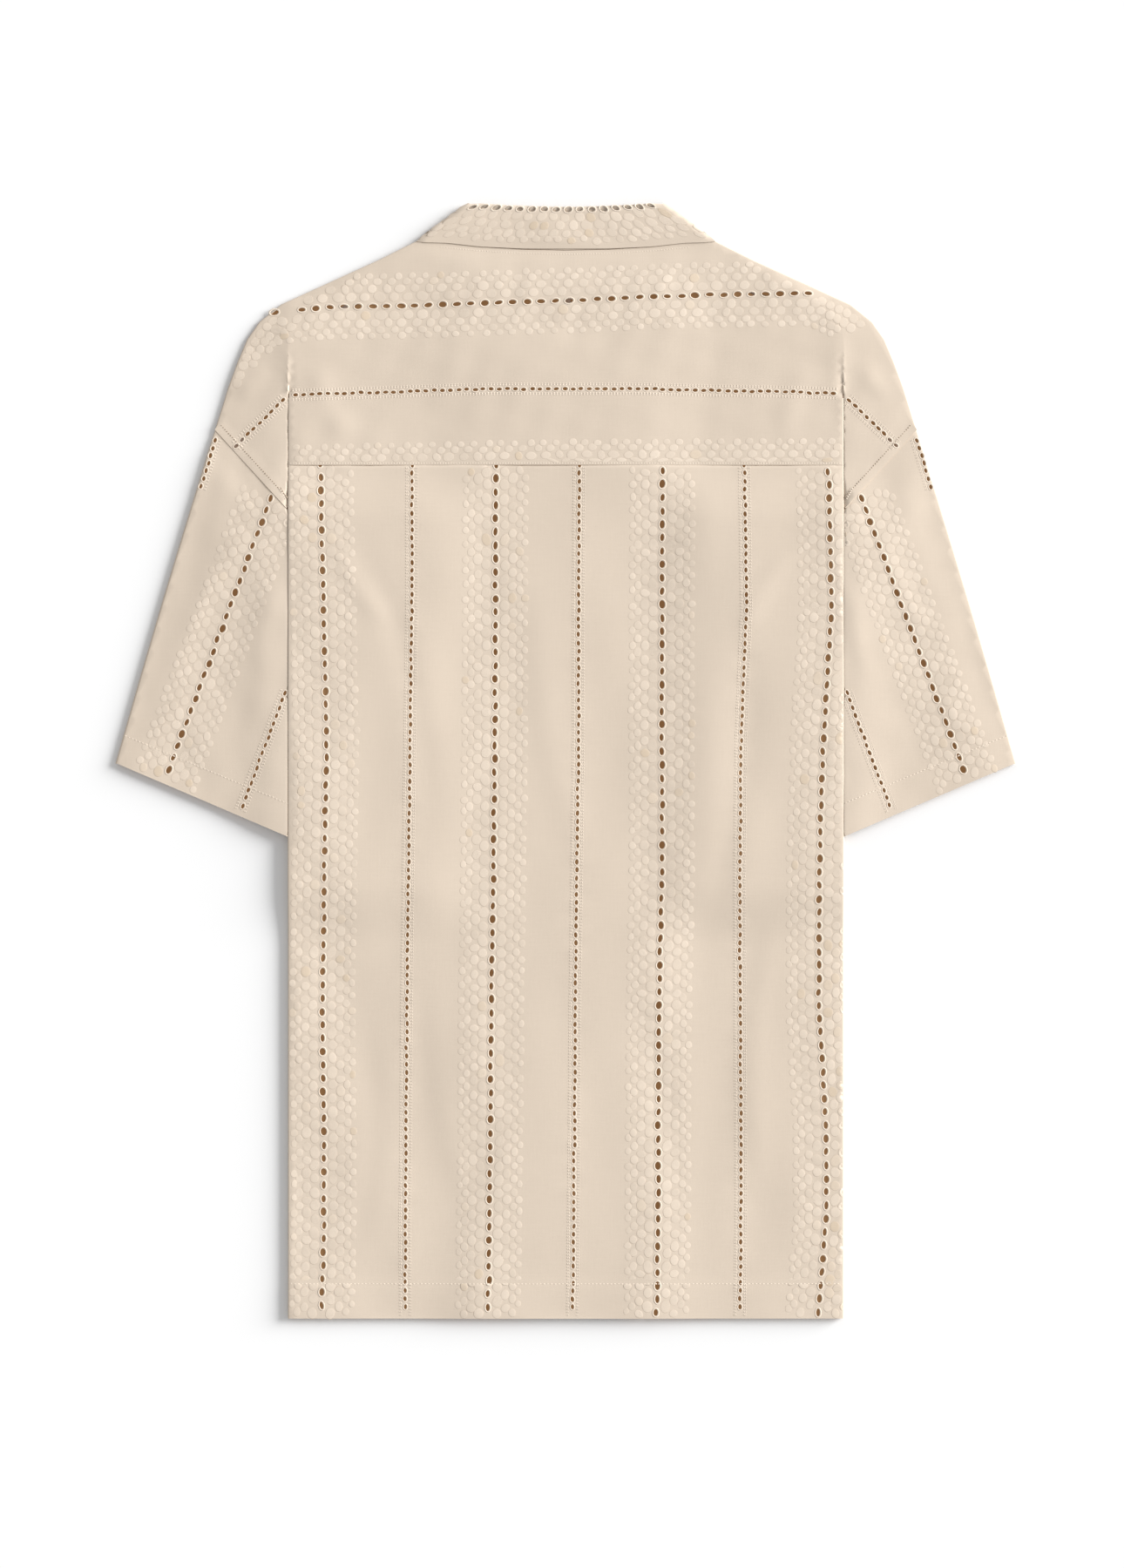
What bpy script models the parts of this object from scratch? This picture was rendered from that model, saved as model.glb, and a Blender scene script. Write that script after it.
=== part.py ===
"""Short-sleeved cotton overshirt, laid flat on its front with the back up.

Lengths are millimetres, written as they are measured on the garment: "across" is the
distance out from the centre line, "up" is the height above the hem and "high" is the
height above the table. The solids are made in metres: +Z up, +Y to the collar, and the
origin under the middle of the garment's outline.
"""

import math

import bmesh
import bpy
from mathutils import Vector
from mathutils.bvhtree import BVHTree

MM = 0.001

# Overall sizes
LENGTH = 780.0
HALF_BODY = 194.3
SIDE_SEAM_ACROSS = 104.0
CLOTH = 1.1
GAP = 0.3
STEP_UP = CLOTH + GAP
SEAM_HALF_GAP = 0.2

# Heights of the layers' middles, with nothing beneath but the layers of the stack
FRONT_HIGH = CLOTH / 2
OVER_FRONT = FRONT_HIGH + STEP_UP
SLEEVE_LIFT = 2 * STEP_UP
BACK_FOLD_RADIUS = 1.025
INNER_FOLD_RADIUS = 0.7
BACK_MID_HIGH = 5.6

# Where the sleeve's layers slip in between the back and the front
LIFT_OUT = 231.5
LIFT_WIDTH = 30.5
LIFT_TOP = 600.0
LIFT_BOTTOM = 304.0
LIFT_RUN = 43.0

# Shoulder pleat and side tuck
PLEAT_APEX_UP = 648.4
PLEAT_SLOPE = math.tan(math.radians(22.5))
SIDE_FOLD = HALF_BODY - BACK_FOLD_RADIUS - CLOTH / 2
YOKE_SEAM_UP = 596.9

# Armhole seam: a straight top and a curved lower part, and the sleeve's other corners
ARMHOLE_TOP = (245.5, 621.6)
ARMHOLE_AT_SIDE = (194.3, 565.5)
ARMHOLE_BEND = (157.1, 524.6)
UNDERARM = (104.0, 430.7)
ARMHOLE_STRAIGHT_SHARE = 0.32
CUFF_OUTER = (315.2, 388.0)
CUFF_INNER = (122.3, 306.2)
SLEEVE_PUFF = 1.0
SLEEVE_CELLS = 12
SLEEVE_SECTIONS = (0.003, 0.1, 0.22, 0.35, 0.5, 0.65, 0.8, 0.92, 1.0)

# Front neck, closed by the top button, and the placket
PLACKET_OVERLAP = 15.2
PLACKET_BOTTOM_LAYER = 2.1
PLACKET_TOP_LAYER = 3.5
LEAF_CENTRE = (54.6, 715.5)
LEAF_REACH = 76.0
LEAF_SLOPE_RUN = 30.0
SHOULDER_WRAP = 20.0
WRAP_END_SHARE = 0.095

# Collar
COLLAR_MID_HIGH = OVER_FRONT + INNER_FOLD_RADIUS
STAND_OFFSET = INNER_FOLD_RADIUS
FALL_OFFSET = INNER_FOLD_RADIUS + STEP_UP

# Eyelets cut in the cloth: each third one is wide
EYELET_LENGTH = 4.5
EYELET_WIDTH = 2.2
WIDE_EYELET_LENGTH = 4.8
WIDE_EYELET_WIDTH = 3.0
WIDE_EYELET_REPEAT = 3
EYELET_SIDES = 6

# Buttons
BUTTON_RADIUS = 5.75
BUTTON_HIGH = 1.8
BUTTON_DISH_RADIUS = 3.7
BUTTON_DISH_DEPTH = 0.5
BUTTON_SIDES = 16
TOP_BUTTON_UP = 692.0
BUTTON_SPACING = 95.8
BUTTON_COUNT = 7

CLOTH_COLOUR = (0.745, 0.631, 0.503, 1.0)
BUTTON_COLOUR = (0.70, 0.60, 0.46, 1.0)
ARC_STEPS = 4

# Yoke sections from the neck down: the section's height on the centre line, the crease at
# the shoulder pleat, how far the pleat is turned, the outline and the heights there
YOKE_SECTIONS = (
    # mid_up, pleat_across, pleat_up, turn, rim_across, rim_up, mid_high, pleat_high
    (746.9, 92.0, 752.8, 0, 101.5, 755.1, 3.35, 3.35),
    (738.0, 118.0, 741.5, 0, 132.0, 739.9, 4.3, 3.7),
    (722.0, 150.0, 728.0, 0, 165.6, 724.7, 5.3, 3.6),
    (703.0, 184.0, 706.0, 0, 199.2, 709.4, 5.6, 3.5),
    (688.0, SIDE_FOLD, 688.0, 0, 214.4, 697.2, 5.6, 4.2),
    (676.0, SIDE_FOLD, 676.0, 45, 223.0, 685.0, 5.6, 4.5),
    (664.5, SIDE_FOLD, 664.5, 90, 229.7, 669.2, 5.6, 4.8),
    (656.0, SIDE_FOLD, 656.0, 135, 236.4, 650.9, 5.6, 5.1),
    (648.0, SIDE_FOLD, 648.0, 180, 245.5, 621.6, 5.6, 5.4),
)

# Yoke sections that end on the armhole: height on the centre line, place along the armhole
YOKE_ARM_SECTIONS = (
    # mid_up, armhole_share
    (632.0, 0.150),
    (615.0, 0.214),
    (YOKE_SEAM_UP + SEAM_HALF_GAP, 0.288),
)

BACK_SECTIONS_UP = (
    YOKE_SEAM_UP - SEAM_HALF_GAP, 586.0, 575.0, 564.0, 553.0, 525.0, 492.0, 460.0, 430.7,
    380.0, 304.0, 293.0, 282.5, 272.0, 261.0, 200.0, 120.0, 24.4, 0.0,
)
LAST_RETURN_UP = 455.0
BACK_SHARES = (0.0, 0.2, 0.39, 0.54, 0.78, 1.0)

# Upper front sections: inner end on the neckline or the placket, outer end on the seam
FRONT_TOP_SECTIONS = (
    # inner_across, inner_up, outer_across, outer_up
    (92.1, 734.4, 188.2, 689.5),
    (86.3, 726.5, 203.9, 674.6),
    (72.9, 716.8, 215.8, 644.1),
    (48.5, 710.7, 229.2, 603.7),
    (44.5, 708.2, 213.0, 586.2),
    (44.5, 650.0, 194.8, 566.3),
)
NECKLINE_SECTIONS = 4
FRONT_SECTIONS_UP = (556.0, 525.0, 492.0, 460.0, 430.7, 380.0, 304.0, 200.0, 24.4, 0.0)
PLACKET_SHARES = (0.0, 0.08, 0.153, 0.22)
FRONT_SHARES = (0.287, 0.42, 0.55, 0.79, 1.0)

# Collar sections from the centre back round the neck to the front edge: seam, crease and
# outer edge in plan, and the angle that the section has turned round the neck's side
COLLAR_SECTIONS = (
    # seam_across, seam_up, crease_across, crease_up, edge_across, edge_up, angle
    (0.0, 747.3, 0.0, 776.8, 0.0, 748.2, 90),
    (30.0, 747.9, 22.0, 777.0, 31.0, 748.3, 90),
    (60.0, 749.8, 44.0, 777.5, 60.0, 749.6, 90),
    (82.0, 752.0, 59.0, 777.4, 83.0, 752.2, 90),
    (97.5, 755.2, 68.3, 776.7, 99.5, 755.7, 90),
    (97.5, 755.2, 68.3, 776.7, 99.5, 755.7, 45),
    (97.5, 755.2, 68.3, 776.7, 99.5, 755.7, 0),
    (97.5, 755.2, 68.3, 776.7, 99.5, 755.7, -45),
    (97.5, 755.2, 68.3, 776.7, 99.5, 755.7, -90),
    (94.6, 744.5, 65.0, 769.0, 106.0, 737.0, -90),
    (85.9, 726.9, 57.0, 757.0, 103.0, 712.0, -90),
    (72.6, 717.3, 42.0, 741.0, 87.0, 688.0, -90),
    (48.4, 711.2, 24.0, 726.0, 66.0, 668.0, -90),
    (9.0, 709.3, 3.6, 711.5, 39.3, 645.4, -90),
)

# Rows of eyelets: ends of the row across and up, and the pitch of the eyelets
BACK_EYELET_ROWS = (
    # first_across, last_across, first_up, last_up, pitch
    (-170.0, -169.5, 588.0, 27.0, 9.45),
    (-49.0, -54.5, 588.0, 27.0, 9.45),
    (67.5, 63.0, 588.0, 27.0, 9.45),
    (181.5, 178.0, 588.0, 27.0, 9.45),
)
YOKE_EYELET_ROWS = (
    (-164.0, 156.0, 707.4, 716.4, 9.88),
)
SLEEVE_EYELET_ROWS = (
    (208.0, 280.5, 569.0, 377.0, 8.8),
)


def clear_scene():
    """Remove what the file holds before the garment is made."""
    for item in list(bpy.data.objects):
        bpy.data.objects.remove(item, do_unlink=True)


def ease(share):
    """Return a smooth rise from 0 to 1."""
    share = min(1.0, max(0.0, share))
    return share * share * (3.0 - 2.0 * share)


def lerp(first, last, share):
    """Return the value a share of the way from first to last."""
    return first + (last - first) * share


def place(across, up, high, side):
    """Return a point in metres; side is -1 for the left half and 1 for the right."""
    return Vector((across * side, up - LENGTH / 2, high)) * MM


def sleeve_lift(across, up):
    """Height that the tucked layers add under the sleeve, 0 outside the body."""
    inside = ease((LIFT_OUT - across) / LIFT_WIDTH)
    return SLEEVE_LIFT * inside * ease((LIFT_TOP - up) / LIFT_RUN)


def body_lift(up):
    """Height that the tucked sleeve adds under the back, 0 above and below it."""
    above = ease((LIFT_TOP - up) / LIFT_RUN)
    below = 1.0 - ease((LIFT_BOTTOM - up) / LIFT_RUN)
    return SLEEVE_LIFT * above * below


def leaf_lift(across, up):
    """Height that the collar's front leaves add under the cloth near the neck."""
    reach = math.hypot(abs(across) - LEAF_CENTRE[0], up - LEAF_CENTRE[1])
    return STEP_UP * (1.0 - ease((reach - LEAF_REACH) / LEAF_SLOPE_RUN))


def armhole(share):
    """Point of the armhole seam, from its outer end (0) to the underarm (1)."""
    if share <= ARMHOLE_STRAIGHT_SHARE:
        part = share / ARMHOLE_STRAIGHT_SHARE
        return (lerp(ARMHOLE_TOP[0], ARMHOLE_AT_SIDE[0], part),
                lerp(ARMHOLE_TOP[1], ARMHOLE_AT_SIDE[1], part))
    part = (share - ARMHOLE_STRAIGHT_SHARE) / (1.0 - ARMHOLE_STRAIGHT_SHARE)
    point = []
    for start, bend, end in zip(ARMHOLE_AT_SIDE, ARMHOLE_BEND, UNDERARM):
        point.append((1 - part) ** 2 * start + 2 * part * (1 - part) * bend + part ** 2 * end)
    return point[0], point[1]


def tuck_inner(up):
    """Where the tuck's inner edge lies: on the slanting fold, or at the side seam."""
    slanting = SIDE_FOLD - max(0.0, PLEAT_APEX_UP - up) * PLEAT_SLOPE
    return max(SIDE_SEAM_ACROSS, slanting)


def half_turn(across, up, high, radius, out, rise):
    """Points of a half circle that folds a layer over, its ends left out.

    out is 1 or -1 for a fold that bulges out or in; rise is 1 or -1 for up or down.
    """
    points = []
    for step in range(1, ARC_STEPS):
        angle = math.pi * step / ARC_STEPS
        bulge = out * radius * math.sin(angle)
        points.append((across + bulge, up, high + rise * radius * (1 - math.cos(angle))))
    return points


def add_material(item, colour, roughness):
    """Give the object its own plain material."""
    material = bpy.data.materials.new(item.name)
    material.use_nodes = True
    shader = material.node_tree.nodes["Principled BSDF"]
    shader.inputs["Base Color"].default_value = colour
    shader.inputs["Roughness"].default_value = roughness
    shader.inputs["Metallic"].default_value = 0.0
    item.data.materials.append(material)


def add_object(name, verts, faces):
    """Make an object from points and faces, with its faces pointing out."""
    mesh = bpy.data.meshes.new(name)
    mesh.from_pydata(verts, [], faces)
    work = bmesh.new()
    work.from_mesh(mesh)
    bmesh.ops.triangulate(work, faces=[face for face in work.faces if len(face.verts) == 4])
    bmesh.ops.recalc_face_normals(work, faces=work.faces)
    work.to_mesh(mesh)
    work.free()
    item = bpy.data.objects.new(name, mesh)
    bpy.context.collection.objects.link(item)
    return item


def cell_corners(row, column):
    """Corners of one cell of a grid, as rows and columns."""
    return ((row, column), (row, column + 1), (row + 1, column + 1), (row + 1, column))


def add_wall(name, rows, present):
    """Make a cloth wall on a grid of middle points.

    rows holds the points of each section, None where a section has no cloth, and
    present(row, column) says whether a cell of the grid is cloth.
    """
    cells = [(row, column) for row in range(len(rows) - 1)
             for column in range(len(rows[0]) - 1) if present(row, column)]
    normals = {}
    for row, column in cells:
        corners = cell_corners(row, column)
        points = [rows[r][c] for r, c in corners]
        normal = (points[2] - points[0]).cross(points[3] - points[1]).normalized()
        for corner in corners:
            normals.setdefault(corner, []).append(normal)
    verts = []
    upper = {}
    lower = {}
    for (row, column), around in normals.items():
        total = Vector((0.0, 0.0, 0.0))
        for normal in around:
            total += normal
        shift = total.normalized() * (CLOTH * MM / 2)
        upper[(row, column)] = len(verts)
        verts.append(rows[row][column] + shift)
        lower[(row, column)] = len(verts)
        verts.append(rows[row][column] - shift)
    faces = []
    borders = {}
    for row, column in cells:
        corners = cell_corners(row, column)
        faces.append([upper[corner] for corner in corners])
        faces.append([lower[corner] for corner in reversed(corners)])
        for start, end in zip(corners, corners[1:] + corners[:1]):
            key = frozenset((start, end))
            if key in borders:
                del borders[key]
            else:
                borders[key] = (start, end)
    for start, end in borders.values():
        faces.append([upper[end], upper[start], lower[start], lower[end]])
    item = add_object(name, verts, faces)
    add_material(item, CLOTH_COLOUR, 0.9)
    return item


def cut_eyelets(item, rows_table, side, every=1):
    """Cut the eyelets of each row through the topmost layer of a wall.

    side is -1 for a row measured on the right and mirrored; every is 3 where only the wide
    eyelets are cut.
    """
    mesh = item.data
    tree = BVHTree.FromPolygons([vert.co for vert in mesh.vertices],
                                [list(face.vertices) for face in mesh.polygons])
    verts = []
    faces = []
    for first_across, last_across, first_up, last_up, pitch in rows_table:
        along = Vector((last_across - first_across, last_up - first_up)) * MM
        along.x *= side
        count = int(along.length / (pitch * MM))
        heading = along.normalized()
        start = place(first_across, first_up, 0.0, side)
        for index in range(1, count, every):
            wide = index % WIDE_EYELET_REPEAT == 1
            eyelet_length = WIDE_EYELET_LENGTH if wide else EYELET_LENGTH
            eyelet_width = WIDE_EYELET_WIDTH if wide else EYELET_WIDTH
            reach = eyelet_length / 2 * MM / math.cos(math.pi / EYELET_SIDES)
            centre = start.xy + heading * pitch * MM * index
            ring = []
            for corner in range(EYELET_SIDES):
                angle = 2 * math.pi * (corner + 0.5) / EYELET_SIDES
                ahead = heading * (math.cos(angle) * reach)
                aside = heading.orthogonal() * (math.sin(angle) * eyelet_width / 2 * MM)
                ring.append(centre + ahead + aside)
            tops = []
            for spot in ring:
                hit = tree.ray_cast(Vector((spot.x, spot.y, 1.0)), Vector((0.0, 0.0, -1.0)))[0]
                tops.append(hit.z)
            base = len(verts)
            for spot, top in zip(ring, tops):
                verts.append((spot.x, spot.y, top + GAP * MM))
            for spot, top in zip(ring, tops):
                verts.append((spot.x, spot.y, top - (CLOTH + GAP * 0.6) * MM))
            faces.append([base + corner for corner in range(EYELET_SIDES)])
            faces.append([base + EYELET_SIDES + corner for corner in reversed(range(EYELET_SIDES))])
            for corner in range(EYELET_SIDES):
                ahead = (corner + 1) % EYELET_SIDES
                faces.append([base + corner, base + EYELET_SIDES + corner,
                              base + EYELET_SIDES + ahead, base + ahead])
    cutter = add_object(f"{item.name}_eyelet_cutter", verts, faces)
    cutter.hide_render = True
    cutter.display_type = "WIRE"
    modifier = item.modifiers.new("eyelets", "BOOLEAN")
    modifier.operation = "DIFFERENCE"
    modifier.object = cutter


def mirrored(half):
    """Return a whole section from its half, which runs from the outline to the middle."""
    left = [place(*point, -1) for point in half]
    right = [place(*point, 1) for point in reversed(half[:-1])]
    return left + right


def rim_points(across, up, high, outward, strip_end):
    """Fold-over of the yoke at the shoulder: the edge's fold and the strip beneath it."""
    low = high - 2 * INNER_FOLD_RADIUS
    points = []
    for share in (1.0, 0.5, 0.0):
        points.append((lerp(across, strip_end[0], share), lerp(up, strip_end[1], share), low))
    for step in range(1, ARC_STEPS):
        angle = math.pi * step / ARC_STEPS
        bulge = INNER_FOLD_RADIUS * math.sin(angle)
        rise = INNER_FOLD_RADIUS * (1 - math.cos(angle))
        points.append((across + outward[0] * bulge, up + outward[1] * bulge, low + rise))
    return points


def pleat_points(up, high, turn, depth):
    """Shoulder pleat from its outer side to its inner side, turned by an angle in degrees."""
    full = math.radians(turn)
    points = []
    across = SIDE_FOLD
    for step in range(ARC_STEPS + 1):
        angle = full * step / ARC_STEPS
        points.append((across + BACK_FOLD_RADIUS * math.sin(angle), up,
                       high - BACK_FOLD_RADIUS * (1 - math.cos(angle))))
    across, _, level = points[-1]
    across += depth * math.cos(full)
    level -= depth * math.sin(full)
    for step in range(ARC_STEPS + 1):
        angle = full * (1 - step / ARC_STEPS)
        points.append((across + INNER_FOLD_RADIUS * (math.sin(full) - math.sin(angle)), up,
                       level - INNER_FOLD_RADIUS * (math.cos(angle) - math.cos(full))))
    return points[::-1]


def top_points(pleat_across, pleat_up, mid_up, pleat_high, mid_high):
    """Points of a section's top layer from beside the side crease to the middle."""
    points = []
    for share in reversed(BACK_SHARES[:-1]):
        across = pleat_across * share
        high_share = ease((across - 55.0) / 49.0)
        points.append((across, lerp(mid_up, pleat_up, share ** 2),
                       lerp(mid_high, pleat_high, high_share)))
    return points


def make_yoke():
    """Back yoke with the shoulder pleats, the dropped shoulders and the fold to the front."""
    rims = [(row[4], row[5]) for row in YOKE_SECTIONS]
    sections = []
    for index, row in enumerate(YOKE_SECTIONS):
        mid_up, pleat_across, pleat_up, turn, rim_across, rim_up, mid_high, pleat_high = row
        before = rims[max(0, index - 1)]
        after = rims[min(len(rims) - 1, index + 1)]
        run = Vector((after[0] - before[0], after[1] - before[1])).normalized()
        outward = (-run.y, run.x)
        inset = INNER_FOLD_RADIUS + CLOTH / 2
        across = rim_across - outward[0] * inset
        up = rim_up - outward[1] * inset
        rim_high = OVER_FRONT + leaf_lift(across, up)
        strip_end = (across - outward[0] * SHOULDER_WRAP, up - outward[1] * SHOULDER_WRAP)
        if index == len(YOKE_SECTIONS) - 1:
            strip_end = armhole(WRAP_END_SHARE)
        half = rim_points(across, up, rim_high, outward, strip_end)
        if turn == 0:
            crease = [(lerp(across, pleat_across, share), lerp(up, pleat_up, share),
                       lerp(rim_high, pleat_high, share))
                      for share in [0.5 + 0.5 * step / 9 for step in range(10)]]
        else:
            crease = pleat_points(pleat_up, pleat_high, turn, 0.2)
        outer = crease[0]
        for share in (0.0, 0.35, 0.7):
            half.append((lerp(across, outer[0], share), lerp(up, outer[1], share),
                         lerp(rim_high, outer[2], ease(share))))
        half += crease
        half += top_points(pleat_across, pleat_up, mid_up, pleat_high, mid_high)
        sections.append(half)
    rim_columns = 3 + ARC_STEPS - 1
    for mid_up, armhole_share in YOKE_ARM_SECTIONS:
        across, up = armhole(armhole_share)
        lift = sleeve_lift(SIDE_FOLD, mid_up)
        pleat_high = OVER_FRONT + lift + 2 * (BACK_FOLD_RADIUS + INNER_FOLD_RADIUS)
        depth = SIDE_FOLD - tuck_inner(mid_up)
        crease = pleat_points(mid_up, pleat_high, 180, depth)
        half = [None] * rim_columns
        for share in (0.0, 0.35, 0.7):
            at_across = lerp(across, crease[0][0], share)
            at_up = lerp(up, mid_up, share)
            half.append((at_across, at_up, OVER_FRONT + sleeve_lift(at_across, at_up)))
        half += crease
        half += top_points(SIDE_FOLD, mid_up, mid_up, pleat_high, BACK_MID_HIGH)
        sections.append(half)
    # The strip under the shoulder ends at the armhole, where its points repeat the seam's end
    last_rim = sections[len(YOKE_SECTIONS) - 1][:rim_columns]
    for section in sections[len(YOKE_SECTIONS):]:
        section[:rim_columns] = last_rim
    rows = [mirrored(half) for half in sections]
    columns = len(rows[0])

    def present(row, column):
        rim = column < rim_columns or column >= columns - 1 - rim_columns
        return not rim or row < len(YOKE_SECTIONS) - 1

    yoke = add_wall("yoke", rows, present)
    cut_eyelets(yoke, YOKE_EYELET_ROWS, 1)


def tuck_points(up, body_high, rise, radius, start_share):
    """Side tuck of a body section: the return to the armhole, the tuck and its folds.

    rise is -1 where the tuck lies under its layer and 1 where it lies over it.
    """
    inner = tuck_inner(up)
    tuck_high = body_high + rise * 2 * radius
    return_high = tuck_high + rise * 2 * INNER_FOLD_RADIUS
    share = (YOKE_SEAM_UP - up) / (YOKE_SEAM_UP - UNDERARM[1])
    armhole_across, armhole_up = armhole(min(1.0, lerp(start_share, 1.0, share)))
    points = []
    for part in (0.0, 0.34, 0.67, 1.0):
        points.append((lerp(armhole_across, inner, part), lerp(armhole_up, up, part),
                       return_high))
    points += half_turn(inner, up, return_high, INNER_FOLD_RADIUS, -1, -rise)
    for part in (0.0, 0.34, 0.67, 1.0):
        points.append((lerp(inner, SIDE_FOLD, part), up, tuck_high))
    points += half_turn(SIDE_FOLD, up, tuck_high, radius, 1, -rise)
    return points


TUCK_RETURN_CELLS = 3 + ARC_STEPS


def make_back():
    """Back panel below the yoke, with its side tucks folded in under it."""
    rows = []
    for up in BACK_SECTIONS_UP:
        side_high = OVER_FRONT + body_lift(up) + 2 * (BACK_FOLD_RADIUS + INNER_FOLD_RADIUS)
        half = tuck_points(up, side_high, -1, BACK_FOLD_RADIUS, 0.293)
        half.append((SIDE_FOLD, up, side_high))
        half += top_points(SIDE_FOLD, up, up, side_high, BACK_MID_HIGH)
        rows.append(mirrored(half))
    columns = len(rows[0])
    last_return = sum(1 for up in BACK_SECTIONS_UP if up > LAST_RETURN_UP)

    def present(row, column):
        returning = column < TUCK_RETURN_CELLS or column >= columns - 1 - TUCK_RETURN_CELLS
        return not returning or row < last_return - 1

    back = add_wall("back", rows, present)
    cut_eyelets(back, BACK_EYELET_ROWS, 1)


def front_high(across, up, placket_high, placket_in, placket_run):
    """Height of a front: on the table, over the collar's leaf, the buttons or the placket."""
    placket = placket_high * ease((placket_in + placket_run - across) / placket_run)
    return FRONT_HIGH + max(leaf_lift(across, up), placket)


def make_front(name, side, placket_high, placket_in, placket_run):
    """One front, flat on the table, with its side tuck folded in over it."""
    tuck_columns = 4 + (ARC_STEPS - 1) + 4 + (ARC_STEPS - 1)
    rows = []
    for inner_across, inner_up, outer_across, outer_up in FRONT_TOP_SECTIONS:
        row = [None] * tuck_columns
        for share in reversed(FRONT_SHARES):
            part = (share - FRONT_SHARES[0]) / (1.0 - FRONT_SHARES[0])
            across = lerp(inner_across, outer_across, part)
            up = lerp(inner_up, outer_up, part)
            high = front_high(across, up, placket_high, placket_in, placket_run)
            row.append(place(across, up, high, side))
        for share in reversed(PLACKET_SHARES):
            across = lerp(-PLACKET_OVERLAP, SIDE_FOLD, share)
            high = front_high(across, inner_up, placket_high, placket_in, placket_run)
            row.append(place(across, inner_up, high, side))
        rows.append(row)
    for up in FRONT_SECTIONS_UP:
        points = tuck_points(up, FRONT_HIGH, 1, INNER_FOLD_RADIUS, 0.30)
        for share in reversed(PLACKET_SHARES + FRONT_SHARES):
            across = lerp(-PLACKET_OVERLAP, SIDE_FOLD, share)
            high = front_high(across, up, placket_high, placket_in, placket_run)
            points.append((across, up, high))
        rows.append([place(*point, side) for point in points])
    first_tuck = len(FRONT_TOP_SECTIONS)
    last_return = first_tuck + sum(1 for up in FRONT_SECTIONS_UP if up > LAST_RETURN_UP)

    placket_column = tuck_columns + len(FRONT_SHARES) - 1

    def present(row, column):
        if column < TUCK_RETURN_CELLS:
            return first_tuck <= row < last_return - 1
        if column >= placket_column:
            return row >= NECKLINE_SECTIONS
        return column >= tuck_columns or row >= first_tuck

    add_wall(name, rows, present)


def sleeve_plan(along, edge_gap):
    """Points of a sleeve section in plan, from the outer fold to the underarm seam."""
    plan = []
    for cell in range(SLEEVE_CELLS + 1):
        share = cell / SLEEVE_CELLS
        head = armhole(share)
        cuff = (lerp(CUFF_OUTER[0], CUFF_INNER[0], share),
                lerp(CUFF_OUTER[1], CUFF_INNER[1], share))
        plan.append((lerp(head[0], cuff[0], along), lerp(head[1], cuff[1], along)))
    plan[0] = (plan[0][0] - INNER_FOLD_RADIUS - CLOTH / 2 - edge_gap, plan[0][1])
    return plan


def make_sleeve_back(name, side):
    """Upper half of a sleeve, with the fold along its outer edge."""
    rows = []
    for along in SLEEVE_SECTIONS:
        plan = sleeve_plan(along, 0.0)
        fold_across, fold_up = plan[0]
        low = FRONT_HIGH + sleeve_lift(fold_across, fold_up)
        section = [(fold_across, fold_up, low)]
        section += half_turn(fold_across, fold_up, low, INNER_FOLD_RADIUS, 1, 1)
        for across, up in plan:
            reach = math.hypot(across - fold_across, up - fold_up)
            lift = sleeve_lift(across, up)
            puff = SLEEVE_PUFF * (1 - lift / SLEEVE_LIFT) * ease(reach / 25) * ease(along / 0.25)
            section.append((across, up, OVER_FRONT + lift + puff))
        rows.append([place(*point, side) for point in section])
    sleeve = add_wall(name, rows, lambda row, column: True)
    cut_eyelets(sleeve, SLEEVE_EYELET_ROWS, side, WIDE_EYELET_REPEAT)


def make_sleeve_front(name, side):
    """Lower half of a sleeve, flat on the table and over the front's tuck."""
    rows = []
    for along in SLEEVE_SECTIONS:
        section = [(across, up, FRONT_HIGH + sleeve_lift(across, up))
                   for across, up in sleeve_plan(along, GAP)]
        rows.append([place(*point, side) for point in section])
    add_wall(name, rows, lambda row, column: True)


def collar_section(row, side):
    """Section of the collar across its width: stand, crease and fall."""
    seam_across, seam_up, crease_across, crease_up, edge_across, edge_up, angle = row
    turned = math.radians(angle)
    edge = Vector((edge_across - crease_across, edge_up - crease_up)).normalized()
    outward = Vector((-edge.y, edge.x))
    if outward.x < 0:
        outward = -outward
    path = []
    for share in (0.0, 0.4, 0.8, 1.0):
        path.append((lerp(seam_across, crease_across, share), lerp(seam_up, crease_up, share),
                     STAND_OFFSET))
    for step in range(1, ARC_STEPS):
        bend = math.pi * step / ARC_STEPS
        bulge = INNER_FOLD_RADIUS * math.sin(bend)
        path.append((crease_across - edge.x * bulge, crease_up - edge.y * bulge,
                     STAND_OFFSET + INNER_FOLD_RADIUS * (1 - math.cos(bend))))
    for share in (0.0, 0.2, 0.6, 1.0):
        path.append((lerp(crease_across, edge_across, share), lerp(crease_up, edge_up, share),
                     FALL_OFFSET))
    points = []
    for across, up, offset in path:
        out = offset * math.cos(turned)
        high = COLLAR_MID_HIGH + offset * math.sin(turned)
        points.append(place(across + outward.x * out, up + outward.y * out, high, side))
    return points


def make_collar():
    """One-piece collar: it stands up from the neck seam, folds over and falls outside."""
    left = [collar_section(row, -1) for row in reversed(COLLAR_SECTIONS)]
    right = [collar_section(row, 1) for row in COLLAR_SECTIONS[1:]]
    add_wall("collar", left + right, lambda row, column: True)


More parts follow.
